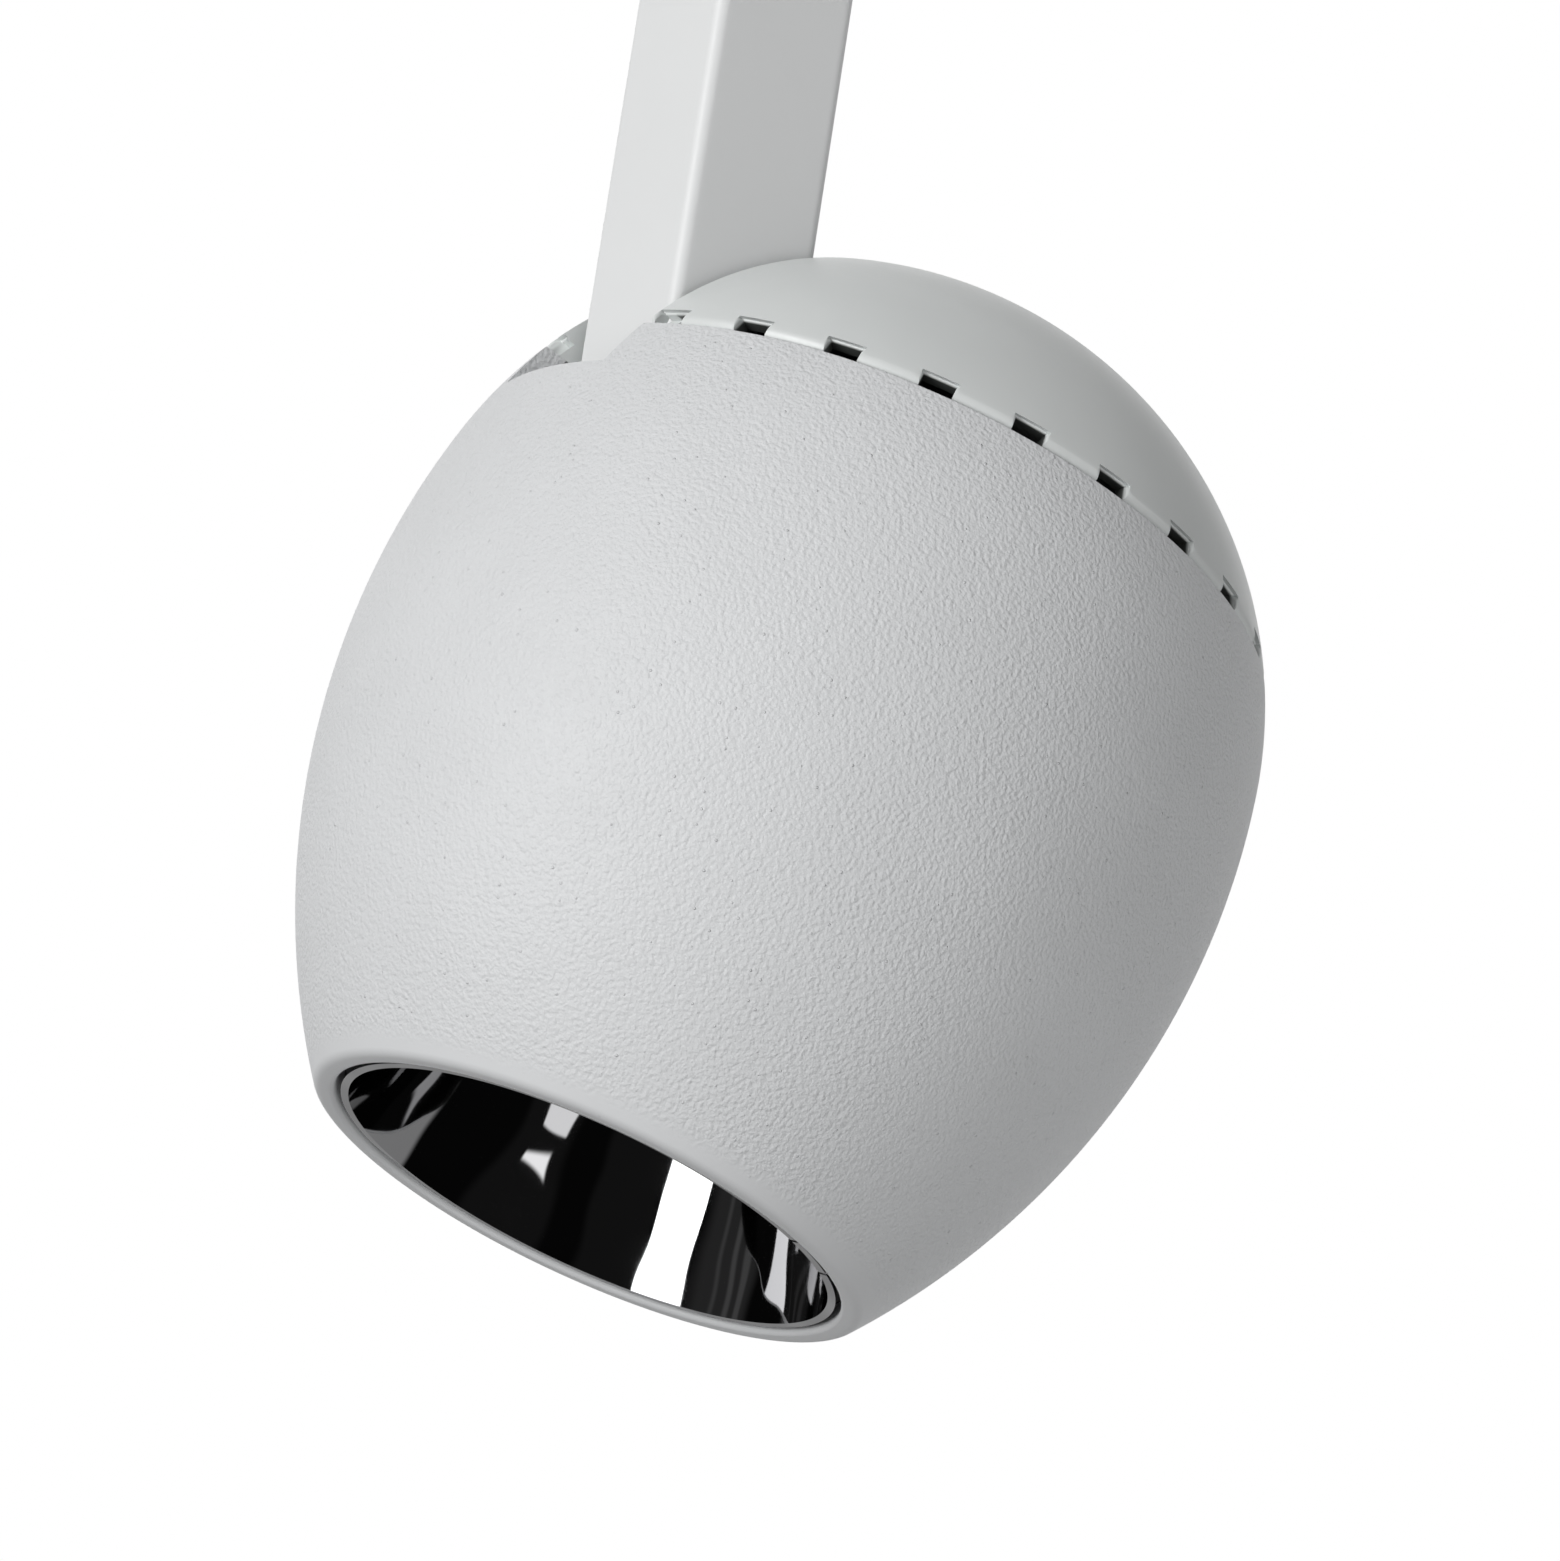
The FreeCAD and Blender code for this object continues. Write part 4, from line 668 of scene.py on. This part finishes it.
def reflector_arc(extra, steps):
    """Bowl's curve from the mouth to the neck, moved out by the extra wall.

    It is the arc through the mouth, the neck and a point half way up whose radius is the root mean
    square of both ends.
    """
    mouth = REFLECTOR_RADIUS - REFLECTOR_WALL
    neck = REFLECTOR_NECK_RADIUS
    half = (math.sqrt((mouth ** 2 + neck ** 2) / 2), (REFLECTOR_MOUTH + REFLECTOR_TOP) / 2)
    middle, radius = circle_through((mouth, REFLECTOR_MOUTH), half, (neck, REFLECTOR_TOP))
    start = math.degrees(math.atan2(REFLECTOR_MOUTH - middle[1], mouth - middle[0]))
    end = math.degrees(math.atan2(REFLECTOR_TOP - middle[1], neck - middle[0]))
    return arc((middle[0] + extra, middle[1]), radius, start, end, steps)


def reflector():
    """Spun mirror bowl with a narrow flat rim and two moulding nicks."""
    inner = reflector_arc(0, 2 * ALONG_ARC)
    outer = reflector_arc(REFLECTOR_WALL, ALONG_ARC // 2)[::-1]
    outline = path(inner, outer)
    blank = turned_mesh("reflector_blank", outline, lean, BOWL_AROUND)
    size = (REFLECTOR_WALL * 2, NICK_WIDTH, NICK_DEPTH)
    tools = head_tool("nick_tools", *blocks(size, (REFLECTOR_RADIUS, 0, REFLECTOR_MOUTH), NICK_ANGLES))
    nicked = cut(blank, tools)
    piece("reflector_bowl", nicked, "reflector_chrome", "head", ["reflector"], RIM_ROUND)


def mouth_ring():
    """Dark ring behind the lip, in the gap round the reflector."""
    low = LIP_BORE_HEIGHT - MOUTH_DEPTH
    high = low + RING_HEIGHT
    bowl = reflector_arc(REFLECTOR_WALL + RING_FIT, 4 * ALONG_ARC)
    inner = bowl[(bowl[:, 1] >= low) & (bowl[:, 1] <= high)]
    flank = FLANK_RADIUS - SHELL_WALL - HOOK_FIT
    outer = [(math.sqrt(flank ** 2 - height ** 2) - FLANK_OFFSET, height) for height in (high, low)]
    mesh = turned_mesh("mouth_ring_blank", path(inner, np.array(outer)), lean)
    piece("mouth_ring", mesh, "black_plastic", "head", ["reflector_ring"])


def light_disc():
    """Round light source: raised dam round a slightly sunk gel."""
    low = LIGHT_DISC_TOP - LIGHT_DISC_HEIGHT
    rim = LIGHT_DISC_RADIUS
    crest = rim - LIGHT_DAM_WIDTH / 2
    gel = low + LIGHT_GEL_DIP
    dam = arc((crest, low + LIGHT_DAM_WIDTH / 2), LIGHT_DAM_WIDTH / 2, 0, -180, 2 * ROUND_STEPS)
    dip = [(rim - LIGHT_GEL_INSET, gel), (rim / 2, gel + LIGHT_GEL_DIP / 4), (0, gel + LIGHT_GEL_DIP / 3)]
    outline = path((0, LIGHT_DISC_TOP), (rim, LIGHT_DISC_TOP), dam, np.array(dip))
    mesh = turned_mesh("light_disc_blank", outline, lean, DISC_AROUND)
    piece("light_source_disc", mesh, "led_phosphor", "head", ["led_disc"])


def square_ring(size, rounding):
    """Closed outline of a square with rounded corners, counter-clockwise from +X."""
    reach = size / 2 - rounding
    side = np.linspace(-reach, reach, ARM_SIDE_STEPS + 1)[:-1]
    half = np.full(ARM_SIDE_STEPS, size / 2)
    along = [(half, side), (-side, half), (-half, -side), (side, -half)]
    corner = [(reach, reach), (-reach, reach), (-reach, -reach), (reach, -reach)]
    pieces = []
    for quarter in range(4):
        pieces.append(np.stack(along[quarter], -1))
        pieces.append(arc(corner[quarter], rounding, 90 * quarter, 90 * quarter + 90, ROUND_STEPS)[:-1])
    return np.concatenate(pieces)


def arm_tube():
    """Square tube with soft edges, open at both ends and rounded at the pivot.

    Every point of the ring runs up from the pivot's half circle, so the lower end is where the tube
    meets a cylinder about the tilt axis.
    """
    outer = square_ring(ARM_SIZE, ARM_EDGE_ROUND)
    inner = square_ring(ARM_SIZE - 2 * ARM_WALL, ARM_INNER_ROUND)
    rise = np.linspace(0, 1, ARM_ROWS)[:, None]

    def wall(ring):
        foot = PIVOT.z - np.sqrt(np.maximum((ARM_SIZE / 2) ** 2 - ring[:, 1] ** 2, 0))
        height = foot + rise * (ARM_HIGH.z - foot)
        flat = np.broadcast_to(ring, (ARM_ROWS,) + ring.shape)
        return np.concatenate([flat, height[..., None]], -1)

    points = np.concatenate([wall(outer), wall(inner)[::-1]])
    quads = grid_faces(2 * ARM_ROWS, len(outer), True)
    blank = mesh_of("arm_blank", points.reshape(-1, 3), quads)
    for radius, above in ((BUSH_HOLE_RADIUS, 0), *((PIN_HOLE_RADIUS, above) for above in PIN_RISES)):
        middle = (0, 0, PIVOT.z + above)
        blank = cut(blank, mesh_of("arm_hole_tool", *rods(radius, -ARM_SIZE, ARM_SIZE, middle, 0)))
    piece("arm_tube_skin", blank, "arm_paint", "arm", ["arm_tube"], ARM_END_ROUND)


def swivel_plate():
    """Round turning plate under the canopy, with a hole for the stem."""
    radius = PLATE_HIGH.x
    low, high = PLATE_LOW.z, PLATE_HIGH.z
    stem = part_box("swivel_stem")[1].x + STEM_FIT
    outline = path((stem, high), (radius - FINE_ROUND, high),
                   arc((radius - FINE_ROUND, high - FINE_ROUND), FINE_ROUND, 90, 0, FINE_STEPS),
                   arc((radius - PLATE_ROUND, low + PLATE_ROUND), PLATE_ROUND, 0, -90, ROUND_STEPS),
                   (stem, low))
    mesh = turned_mesh("swivel_plate_blank", outline, np.asarray, PLATE_AROUND)
    piece("swivel_plate_disc", mesh, "arm_paint", "arm", ["swivel_plate"])


def canopy_cover():
    """Round ceiling cover with a rounded lower edge and the seats of three side screws."""
    radius = -COVER_LOW.x
    low = COVER_LOW.z
    floor = low + CANOPY_WALL
    inner = radius - CANOPY_WALL
    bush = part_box("stem_bush")[0].z
    inner_round = CANOPY_ROUND - CANOPY_WALL
    outline = path((radius - FINE_ROUND, 0),
                   arc((radius - FINE_ROUND, -FINE_ROUND), FINE_ROUND, 90, 0, FINE_STEPS),
                   arc((radius - CANOPY_ROUND, low + CANOPY_ROUND), CANOPY_ROUND, 0, -90, 2 * ROUND_STEPS),
                   (STEM_HOLE_RADIUS, min(low, bush)), (STEM_HOLE_RADIUS, floor),
                   arc((inner - inner_round, floor + inner_round), inner_round, -90, 0, ROUND_STEPS),
                   (inner, 0))
    blank = turned_mesh("canopy_blank", outline, np.asarray)
    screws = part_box("cover_screws")
    height = (screws[0].z + screws[1].z) / 2
    seat = radius - SEAT_DEPTH
    end = radius + OVERRUN
    for hole_radius, start in ((SEAT_RADIUS, seat), (SCREW_HOLE_RADIUS, inner - OVERRUN)):
        tool = mesh_of("seat_tools", *rods(hole_radius, start, end, (0, 0, height), SEAT_ANGLES))
        blank = cut(blank, tool)
    piece("canopy_cover_shell", blank, "canopy_paint", "canopy", ["canopy_cover"])


class Nodes:
    """Short ways to add nodes to a node tree."""

    def put(self, value, socket):
        """Link another socket to this one, or set it to a value."""
        if isinstance(value, bpy.types.NodeSocket):
            self.tree.links.new(value, socket)
        else:
            socket.default_value = value

    def add(self, kind, output, inputs, **choices):
        """Add a node with some choices made and its inputs set or linked, and give one of its outputs."""
        node = self.tree.nodes.new("ShaderNode" + kind)
        for name, value in choices.items():
            setattr(node, name, value)
        for name, value in inputs.items():
            self.put(value, node.inputs[name])
        return node.outputs[output]

    def math(self, operation, *values):
        """Result of one sum on numbers or sockets."""
        return self.add("Math", "Value", dict(enumerate(values)), operation=operation)

    def mapped(self, value, low, high, out_low=0.0, out_high=1.0):
        """Value carried from one range to another with a smooth step."""
        inputs = {"Value": value, "From Min": low, "From Max": high, "To Min": out_low, "To Max": out_high}
        return self.add("MapRange", "Result", inputs, interpolation_type="SMOOTHSTEP")


class Finish(Nodes):
    """Node material with one principled shader and short ways to add patterns."""

    def __init__(self, name, colour, roughness, metallic=0.0, gleam=0.5):
        self.material = bpy.data.materials.new(name)
        self.material.use_nodes = True
        self.tree = self.material.node_tree
        self.shader = self.tree.nodes["Principled BSDF"]
        values = {"Base Color": (*colour, 1), "Roughness": roughness, "Metallic": metallic,
                  "Specular IOR Level": gleam}
        for socket, value in values.items():
            self.put(value, self.shader.inputs[socket])
        self.colour = colour
        self.roughness = roughness
        self.place = self.add("TexCoord", "Object", {})

    def stretched(self, scale):
        """Object coordinates scaled along each axis, so that patterns are squeezed or stretched."""
        return self.add("Mapping", "Vector", {"Vector": self.place, "Scale": scale})

    def noise(self, size, detail=2.0, roughness=0.5, vector=None):
        """Noise whose patches are about the given size across, in metres."""
        inputs = {"Vector": vector or self.place, "Scale": 1 / size, "Detail": detail,
                  "Roughness": roughness}
        return self.add("TexNoise", "Fac", inputs)

    def cells(self, size, feature="F1", **more):
        """Distance to the nearest cell middle or edge, for cells of the given size, in metres."""
        inputs = {"Vector": self.place, "Scale": 1 / size, **more}
        return self.add("TexVoronoi", "Distance", inputs, feature=feature)

    def vector(self, operation, other):
        """Distance from a given point, or dot product with a given direction."""
        return self.add("VectorMath", "Value", {0: self.place, 1: other}, operation=operation)

    def shade(self, share, other):
        """Mix the colour so far with another by a share."""
        target = self.shader.inputs["Base Color"]
        before = target.links[0].from_socket if target.links else (*self.colour, 1)
        inputs = {"Factor": share, "A": before, "B": (*other, 1)}
        self.put(self.add("Mix", "Result", inputs, data_type="RGBA"), target)

    def clouds(self, size, share, darker, edges=CLOUD_EDGES):
        """Soft patches of a size, up to a share of the way to a darker colour."""
        patches = self.mapped(self.noise(size), *edges, 0.0, share)
        self.shade(patches, tuple(darker * part for part in self.colour))

    def gloss(self, value, change):
        """Vary the roughness by a value."""
        spread = self.mapped(value, *GLOSS_EDGES, self.roughness - change, self.roughness + change)
        self.put(spread, self.shader.inputs["Roughness"])

    def relief(self, value, depth):
        """Raise the surface by a value times a depth in metres, on top of the relief so far."""
        target = self.shader.inputs["Normal"]
        inputs = {"Height": value, "Distance": depth}
        if target.links:
            inputs["Normal"] = target.links[0].from_socket
        self.put(self.add("Bump", "Normal", inputs), target)


def above_lip(finish):
    """0 on the mouth's lip and 1 on the shell above it."""
    upward = head_point((0, 0, 1)) - head_point((0, 0, 0))
    rim = head_point((0, 0, -MOUTH_DEPTH)).dot(upward)
    height = finish.vector("DOT_PRODUCT", upward)
    return finish.mapped(height, rim + LIP_ROUND / 2, rim + 2 * LIP_ROUND)


def powder_coat(name, lip=False):
    """Powder coat: rounded grains and flecks, clouds and pinholes, and smooth on the mouth's lip."""
    finish = Finish(name, COAT_COLOUR, roughness=0.5, gleam=0.37)
    coarse = finish.noise(COAT_GRAIN, detail=1.5)
    bumps = finish.cells(COAT_GRAIN * BUMP_SIZE, "SMOOTH_F1", Smoothness=BUMP_SMOOTHNESS)
    flecks = finish.mapped(finish.cells(COAT_GRAIN * FLECK_CELLS), *FLECK_EDGES, FLECK_RISE, 0.0)
    grains = finish.math("MULTIPLY", coarse, GRAIN_SHARE)
    grains = finish.math("ADD", grains, finish.math("MULTIPLY", bumps, BUMP_SHARE))
    coat = finish.math("ADD", grains, flecks)
    if lip:
        coat = finish.math("MULTIPLY", coat, above_lip(finish))
    finish.relief(coat, COAT_DEPTH)
    pinholes = finish.mapped(finish.cells(COAT_GRAIN * PINHOLE_CELLS), *PINHOLE_EDGES, 1.0, 0.0)
    clouds = finish.noise(COAT_GRAIN * COAT_CLOUD_SIZE)
    patches = finish.mapped(clouds, *CLOUD_EDGES, 0.0, COAT_CLOUD_SHARE)
    darker = tuple(COAT_DARKER * part for part in COAT_COLOUR)
    finish.shade(finish.math("MAXIMUM", patches, pinholes), darker)
    finish.gloss(coarse, change=0.05)
    return finish.material


def satin_plastic(name, colour, roughness, gleam=0.5, cheeks_and_painted_shade=False):
    """Moulded plastic: fine eroded texture and slight clouds from the mould. The last flag is for the rear cap: it
    paints shade inside the skin.
    """
    finish = Finish(name, colour, roughness, gleam=gleam)
    finish.relief(finish.noise(PLASTIC_GRAIN), PLASTIC_DEPTH)
    finish.clouds(size=0.012, share=0.4, darker=0.96)
    finish.gloss(finish.noise(PLASTIC_GRAIN * 3), change=0.04)
    if cheeks_and_painted_shade:
        # Painted shade: a darker colour inside the cap's skin, in the vents and under the rim, where light does
        # not reach
        finish.shade(cap_painted_shade(finish), PAINTED_SHADE_COLOUR)
    return finish.material


def cap_painted_shade(finish):
    """Share of painted shade in the cap's colour: all inside the skin but for the slot's pale walls."""
    radius = finish.vector("DISTANCE", head_point((0, 0, DOME_CENTRE_HEIGHT)))
    shallow, full = (DOME_RADIUS - depth for depth in PAINTED_SHADE_DEPTHS)
    deep = finish.mapped(radius, full, shallow, 1.0, 0.0)
    sideways = finish.math("ABSOLUTE", finish.vector("DOT_PRODUCT", (1, 0, 0)))
    edge = HALF_SLOT + SLOT_CHEEK_WALL
    beside = finish.mapped(sideways, edge, edge + PAINTED_SHADE_BLUR)
    away = head_point((0, 1, 0)) - head_point((0, 0, 0))
    axis = head_point((0, 0, 0)).dot(away)
    behind = finish.mapped(finish.vector("DOT_PRODUCT", away), axis - PAINTED_SHADE_BLUR, axis)
    return finish.math("MULTIPLY", deep, finish.math("MAXIMUM", beside, behind))


def smooth_paint(name, colour):
    """Smooth satin paint on a drawn tube: long shallow waves and a very fine skin."""
    finish = Finish(name, colour, roughness=0.42, gleam=0.4)
    waves = finish.noise(0.012, detail=1.0, vector=finish.stretched((1, 1, 0.25)))
    finish.relief(waves, depth=0.00003)
    finish.relief(finish.noise(0.0005), depth=0.0000015)
    finish.clouds(size=0.03, share=0.3, darker=0.97)
    finish.gloss(finish.noise(0.004), change=0.03)
    return finish.material


def mirror(name, colour):
    """Vacuum-coated mirror: very smooth, with the moulding's long shallow waves."""
    finish = Finish(name, colour, roughness=0.035, metallic=1.0)
    finish.relief(finish.noise(0.016, detail=1.0, roughness=0.4), depth=0.0009)
    finish.gloss(finish.noise(0.006), change=0.012)
    finish.clouds(size=0.015, share=0.3, darker=0.93, edges=(0.4, 0.7))
    return finish.material


def bare_metal(name, colour, roughness, width, squeeze):
    """Plated or ground metal: fine lines one way, patchy gloss."""
    finish = Finish(name, colour, roughness, metallic=1.0)
    lines = finish.noise(width, detail=3.0, roughness=0.6, vector=finish.stretched(squeeze))
    finish.relief(lines, depth=0.0000015)
    finish.gloss(finish.noise(0.0025), change=roughness / 4)
    finish.clouds(size=0.004, share=0.5, darker=0.86, edges=(0.35, 0.7))
    return finish.material


def cast_metal(name, colour):
    """Blasted casting: small pits and a dull, patchy sheen."""
    finish = Finish(name, colour, roughness=0.5, metallic=1.0)
    finish.relief(finish.noise(0.0004, detail=3.0, roughness=0.65), depth=0.00002)
    finish.gloss(finish.noise(0.003), change=0.08)
    finish.clouds(size=0.006, share=0.5, darker=0.85)
    return finish.material


def rubber(name, colour):
    """Soft moulded rubber: matt, with a dusty bloom."""
    finish = Finish(name, colour, roughness=0.75)
    finish.relief(finish.noise(0.0003), depth=0.000006)
    bloom = finish.mapped(finish.noise(0.003), *BLOOM_EDGES, 0.0, BLOOM_SHARE)
    finish.shade(bloom, tuple(part + BLOOM_PALENESS for part in colour))
    return finish.material


def phosphor(name, colour):
    """Light source's gel: yellow phosphor with small chips under it."""
    finish = Finish(name, colour, roughness=0.25)
    chips = finish.cells(CHIP_SIZE, "DISTANCE_TO_EDGE")
    finish.shade(finish.mapped(chips, 0.0, CHIP_EDGE, CHIP_SHARE, 0.0), CHIP_COLOUR)
    finish.relief(finish.noise(0.0006, detail=1.0), depth=0.00001)
    return finish.material


# What makes each slot's finish, then its colour and roughness, and a plastic's gleam and painted shade inside its
# skin, or the width of a metal's lines and how they are squeezed along each axis
RECIPES = {
    "shell_paint": (powder_coat, True),
    "canopy_paint": (powder_coat,),
    # The rear cap's plastic gets painted shade inside its skin
    "cap_plastic": (satin_plastic, (0.805, 0.83, 0.821), 0.35, 0.64, True),
    "arm_paint": (smooth_paint, (0.90, 0.91, 0.91)),
    "reflector_chrome": (mirror, (0.30, 0.30, 0.305)),
    "black_plastic": (satin_plastic, (0.03, 0.03, 0.03), 0.5),
    "white_plastic": (satin_plastic, (0.80, 0.80, 0.78), 0.5),
    "pad_rubber": (rubber, (0.35, 0.36, 0.38)),
    "grommet_rubber": (rubber, (0.04, 0.04, 0.04)),
    "cast_aluminium": (cast_metal, (0.62, 0.63, 0.64)),
    "board_aluminium": (bare_metal, (0.85, 0.85, 0.84), 0.35, 0.0004, (1, 8, 1)),
    "led_phosphor": (phosphor, (0.90, 0.72, 0.18)),
    "zinc_steel": (bare_metal, (0.60, 0.61, 0.63), 0.32, 0.0006, (1, 6, 1)),
    "spring_steel": (bare_metal, (0.45, 0.46, 0.48), 0.25, 0.0005, (6, 1, 1)),
    "bronze": (cast_metal, (0.62, 0.45, 0.25)),
}
FINISHES = {slot: make(slot, *values) for slot, (make, *values) in RECIPES.items()}


def finish_frame():
    """Give every carried-over node the material of its slot."""
    for entry in frame["record"]["subparts"]:
        node = frame["nodes"][entry["node"]]
        node.data.materials.clear()
        node.data.materials.append(FINISHES[entry["material_slot"]])


def add_key_lamp():
    """Tall soft lamp on the camera's left, facing the head's middle."""
    data = bpy.data.lights.new("key_lamp", "AREA")
    data.shape = "RECTANGLE"
    data.size, data.size_y = KEY_SIZE
    data.energy = KEY_POWER
    lamp = bpy.data.objects.new("key_lamp", data)
    back = facing(KEY_AZIMUTH, KEY_ELEVATION)
    lamp.matrix_world = looking_from(head_point((0, 0, 0)) + back * KEY_DISTANCE, back, 0)
    bpy.context.scene.collection.objects.link(lamp)


class Room(Nodes):
    """World shader: soft light that varies round the room, white for the camera, cards for mirrors."""

    def __init__(self):
        world = bpy.data.worlds.new("studio")
        world.use_nodes = True
        bpy.context.scene.world = world
        self.tree = world.node_tree
        self.way = self.add("TexCoord", "Generated", {})
        split = self.tree.nodes.new("ShaderNodeSeparateXYZ")
        self.put(self.way, split.inputs["Vector"])
        x, y, z = split.outputs
        self.azimuth = self.math("DEGREES", self.math("ARCTAN2", y, x))
        self.elevation = self.math("DEGREES", self.math("ARCSINE", z))

    def along(self, way):
        """Dot product of the ray's direction with a given one."""
        return self.add("VectorMath", "Value", {0: self.way, 1: way}, operation="DOT_PRODUCT")

    def mixed(self, share, first, second):
        """First value, or the second where the share is 1."""
        return self.add("Mix", "Result", {"Factor": share, "A": first, "B": second})

    def above(self, value, edge, blur):
        """0 below an edge and 1 above it, blurred by some degrees."""
        return self.mapped(value, edge - blur, edge + blur)

    def height(self, lean):
        """Elevation, lowered by so many degrees for each degree of azimuth."""
        return self.math("SUBTRACT", self.elevation, self.math("MULTIPLY", self.azimuth, lean))

    def card(self, azimuths, elevations, level, blur=1.0, leans=(0, 0)):
        """Soft-edged card between two azimuths and two elevations, whose lower and upper edge may lean."""
        side = self.math("SUBTRACT", *(self.above(self.azimuth, edge, blur) for edge in azimuths))
        foot = self.above(self.height(leans[0]), elevations[0], blur)
        head = self.above(self.height(leans[1]), elevations[1], blur)
        band = self.math("MULTIPLY", foot, self.math("SUBTRACT", 1.0, head))
        return self.math("MULTIPLY", self.math("MULTIPLY", side, band), level)

    def glow(self, way, level, spread):
        """Broad glow round a direction: the level times e to the spread times the cosine less one."""
        nearness = self.math("SUBTRACT", self.along(way), 1.0)
        return self.math("MULTIPLY", self.math("EXPONENT", self.math("MULTIPLY", nearness, spread)), level)

    def total(self, values):
        """All values added."""
        result = values[0]
        for value in values[1:]:
            result = self.math("ADD", result, value)
        return result


def add_room():
    """Room light that fades towards the camera, white backdrop, and what the mirror sees of the studio."""
    room = Room()
    ahead = -facing(CAMERA_AZIMUTH, CAMERA_ELEVATION)
    slope = room.math("MAXIMUM", room.math("ADD", room.along(ROOM_SLOPE), ROOM_LEVEL), 0.0)
    high = room.above(room.elevation, CEILING_ELEVATION, CEILING_BLUR)
    ceiling = room.math("MULTIPLY", high, CEILING_LEVEL)
    glow = room.math("ADD", room.glow(facing(FILL_AZIMUTH, FILL_ELEVATION), FILL_LEVEL, FILL_SPREAD),
                     room.glow(ahead, BACK_LEVEL, BACK_SPREAD))
    soft = room.math("ADD", slope, ceiling)
    dark = room.card(DARK_SIDE_AZIMUTHS, (-90, 90), 1.0, DARK_SIDE_BLUR)
    mirrored = room.math("MULTIPLY", soft, room.math("SUBTRACT", 1.0, dark))
    backdrop = room.mapped(room.along(ahead), *BACKDROP_EDGES)
    cards = [room.card(*values) for values in CARDS.values()]
    walls = room.math("MAXIMUM", mirrored, backdrop)
    seen = room.math("ADD", room.total([walls, *cards]), DARK_SIDE_LEVEL)
    ray = room.tree.nodes.new("ShaderNodeLightPath").outputs
    clear = room.math("MAXIMUM", ray["Is Camera Ray"], ray["Is Transmission Ray"])
    level = room.mixed(ray["Is Glossy Ray"], room.math("ADD", soft, glow), seen)
    background = room.tree.nodes["Background"]
    room.put((1, 1, 1, 1), background.inputs["Color"])
    room.put(room.mixed(clear, level, 1.0), background.inputs["Strength"])


def add_floor():
    """Plain pale floor, well below the hanging fixture."""
    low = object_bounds()[0][2] - FLOOR_DROP
    half = FLOOR_SIZE / 2
    mesh = bpy.data.meshes.new("floor")
    mesh.from_pydata([(-half, -half, low), (half, -half, low), (half, half, low), (-half, half, low)], [],
                     [(0, 1, 2, 3)])
    floor = bpy.data.objects.new("floor", mesh)
    bpy.context.scene.collection.objects.link(floor)
    finish = Finish("floor_card", FLOOR_COLOUR, roughness=0.8)
    clouds = finish.mapped(finish.noise(FLOOR_CLOUD_SIZE), *CLOUD_EDGES, 0.0, FLOOR_CLOUD_SHARE)
    finish.shade(clouds, FLOOR_CLOUD)
    seen = finish.tree.nodes.new("ShaderNodeLightPath").outputs["Is Camera Ray"]
    finish.shader.inputs["Emission Color"].default_value = (1, 1, 1, 1)
    finish.put(finish.math("MULTIPLY", seen, FLOOR_GLOW), finish.shader.inputs["Emission Strength"])
    mesh.materials.append(finish.material)
    floor.visible_glossy = False
    floor.visible_diffuse = False


bpy.context.scene.view_settings.view_transform = "Standard"
add_camera()
finish_frame()
front_shell()
rear_cap()
reflector()
mouth_ring()
light_disc()
arm_tube()
swivel_plate()
canopy_cover()
add_key_lamp()
add_room()
add_floor()
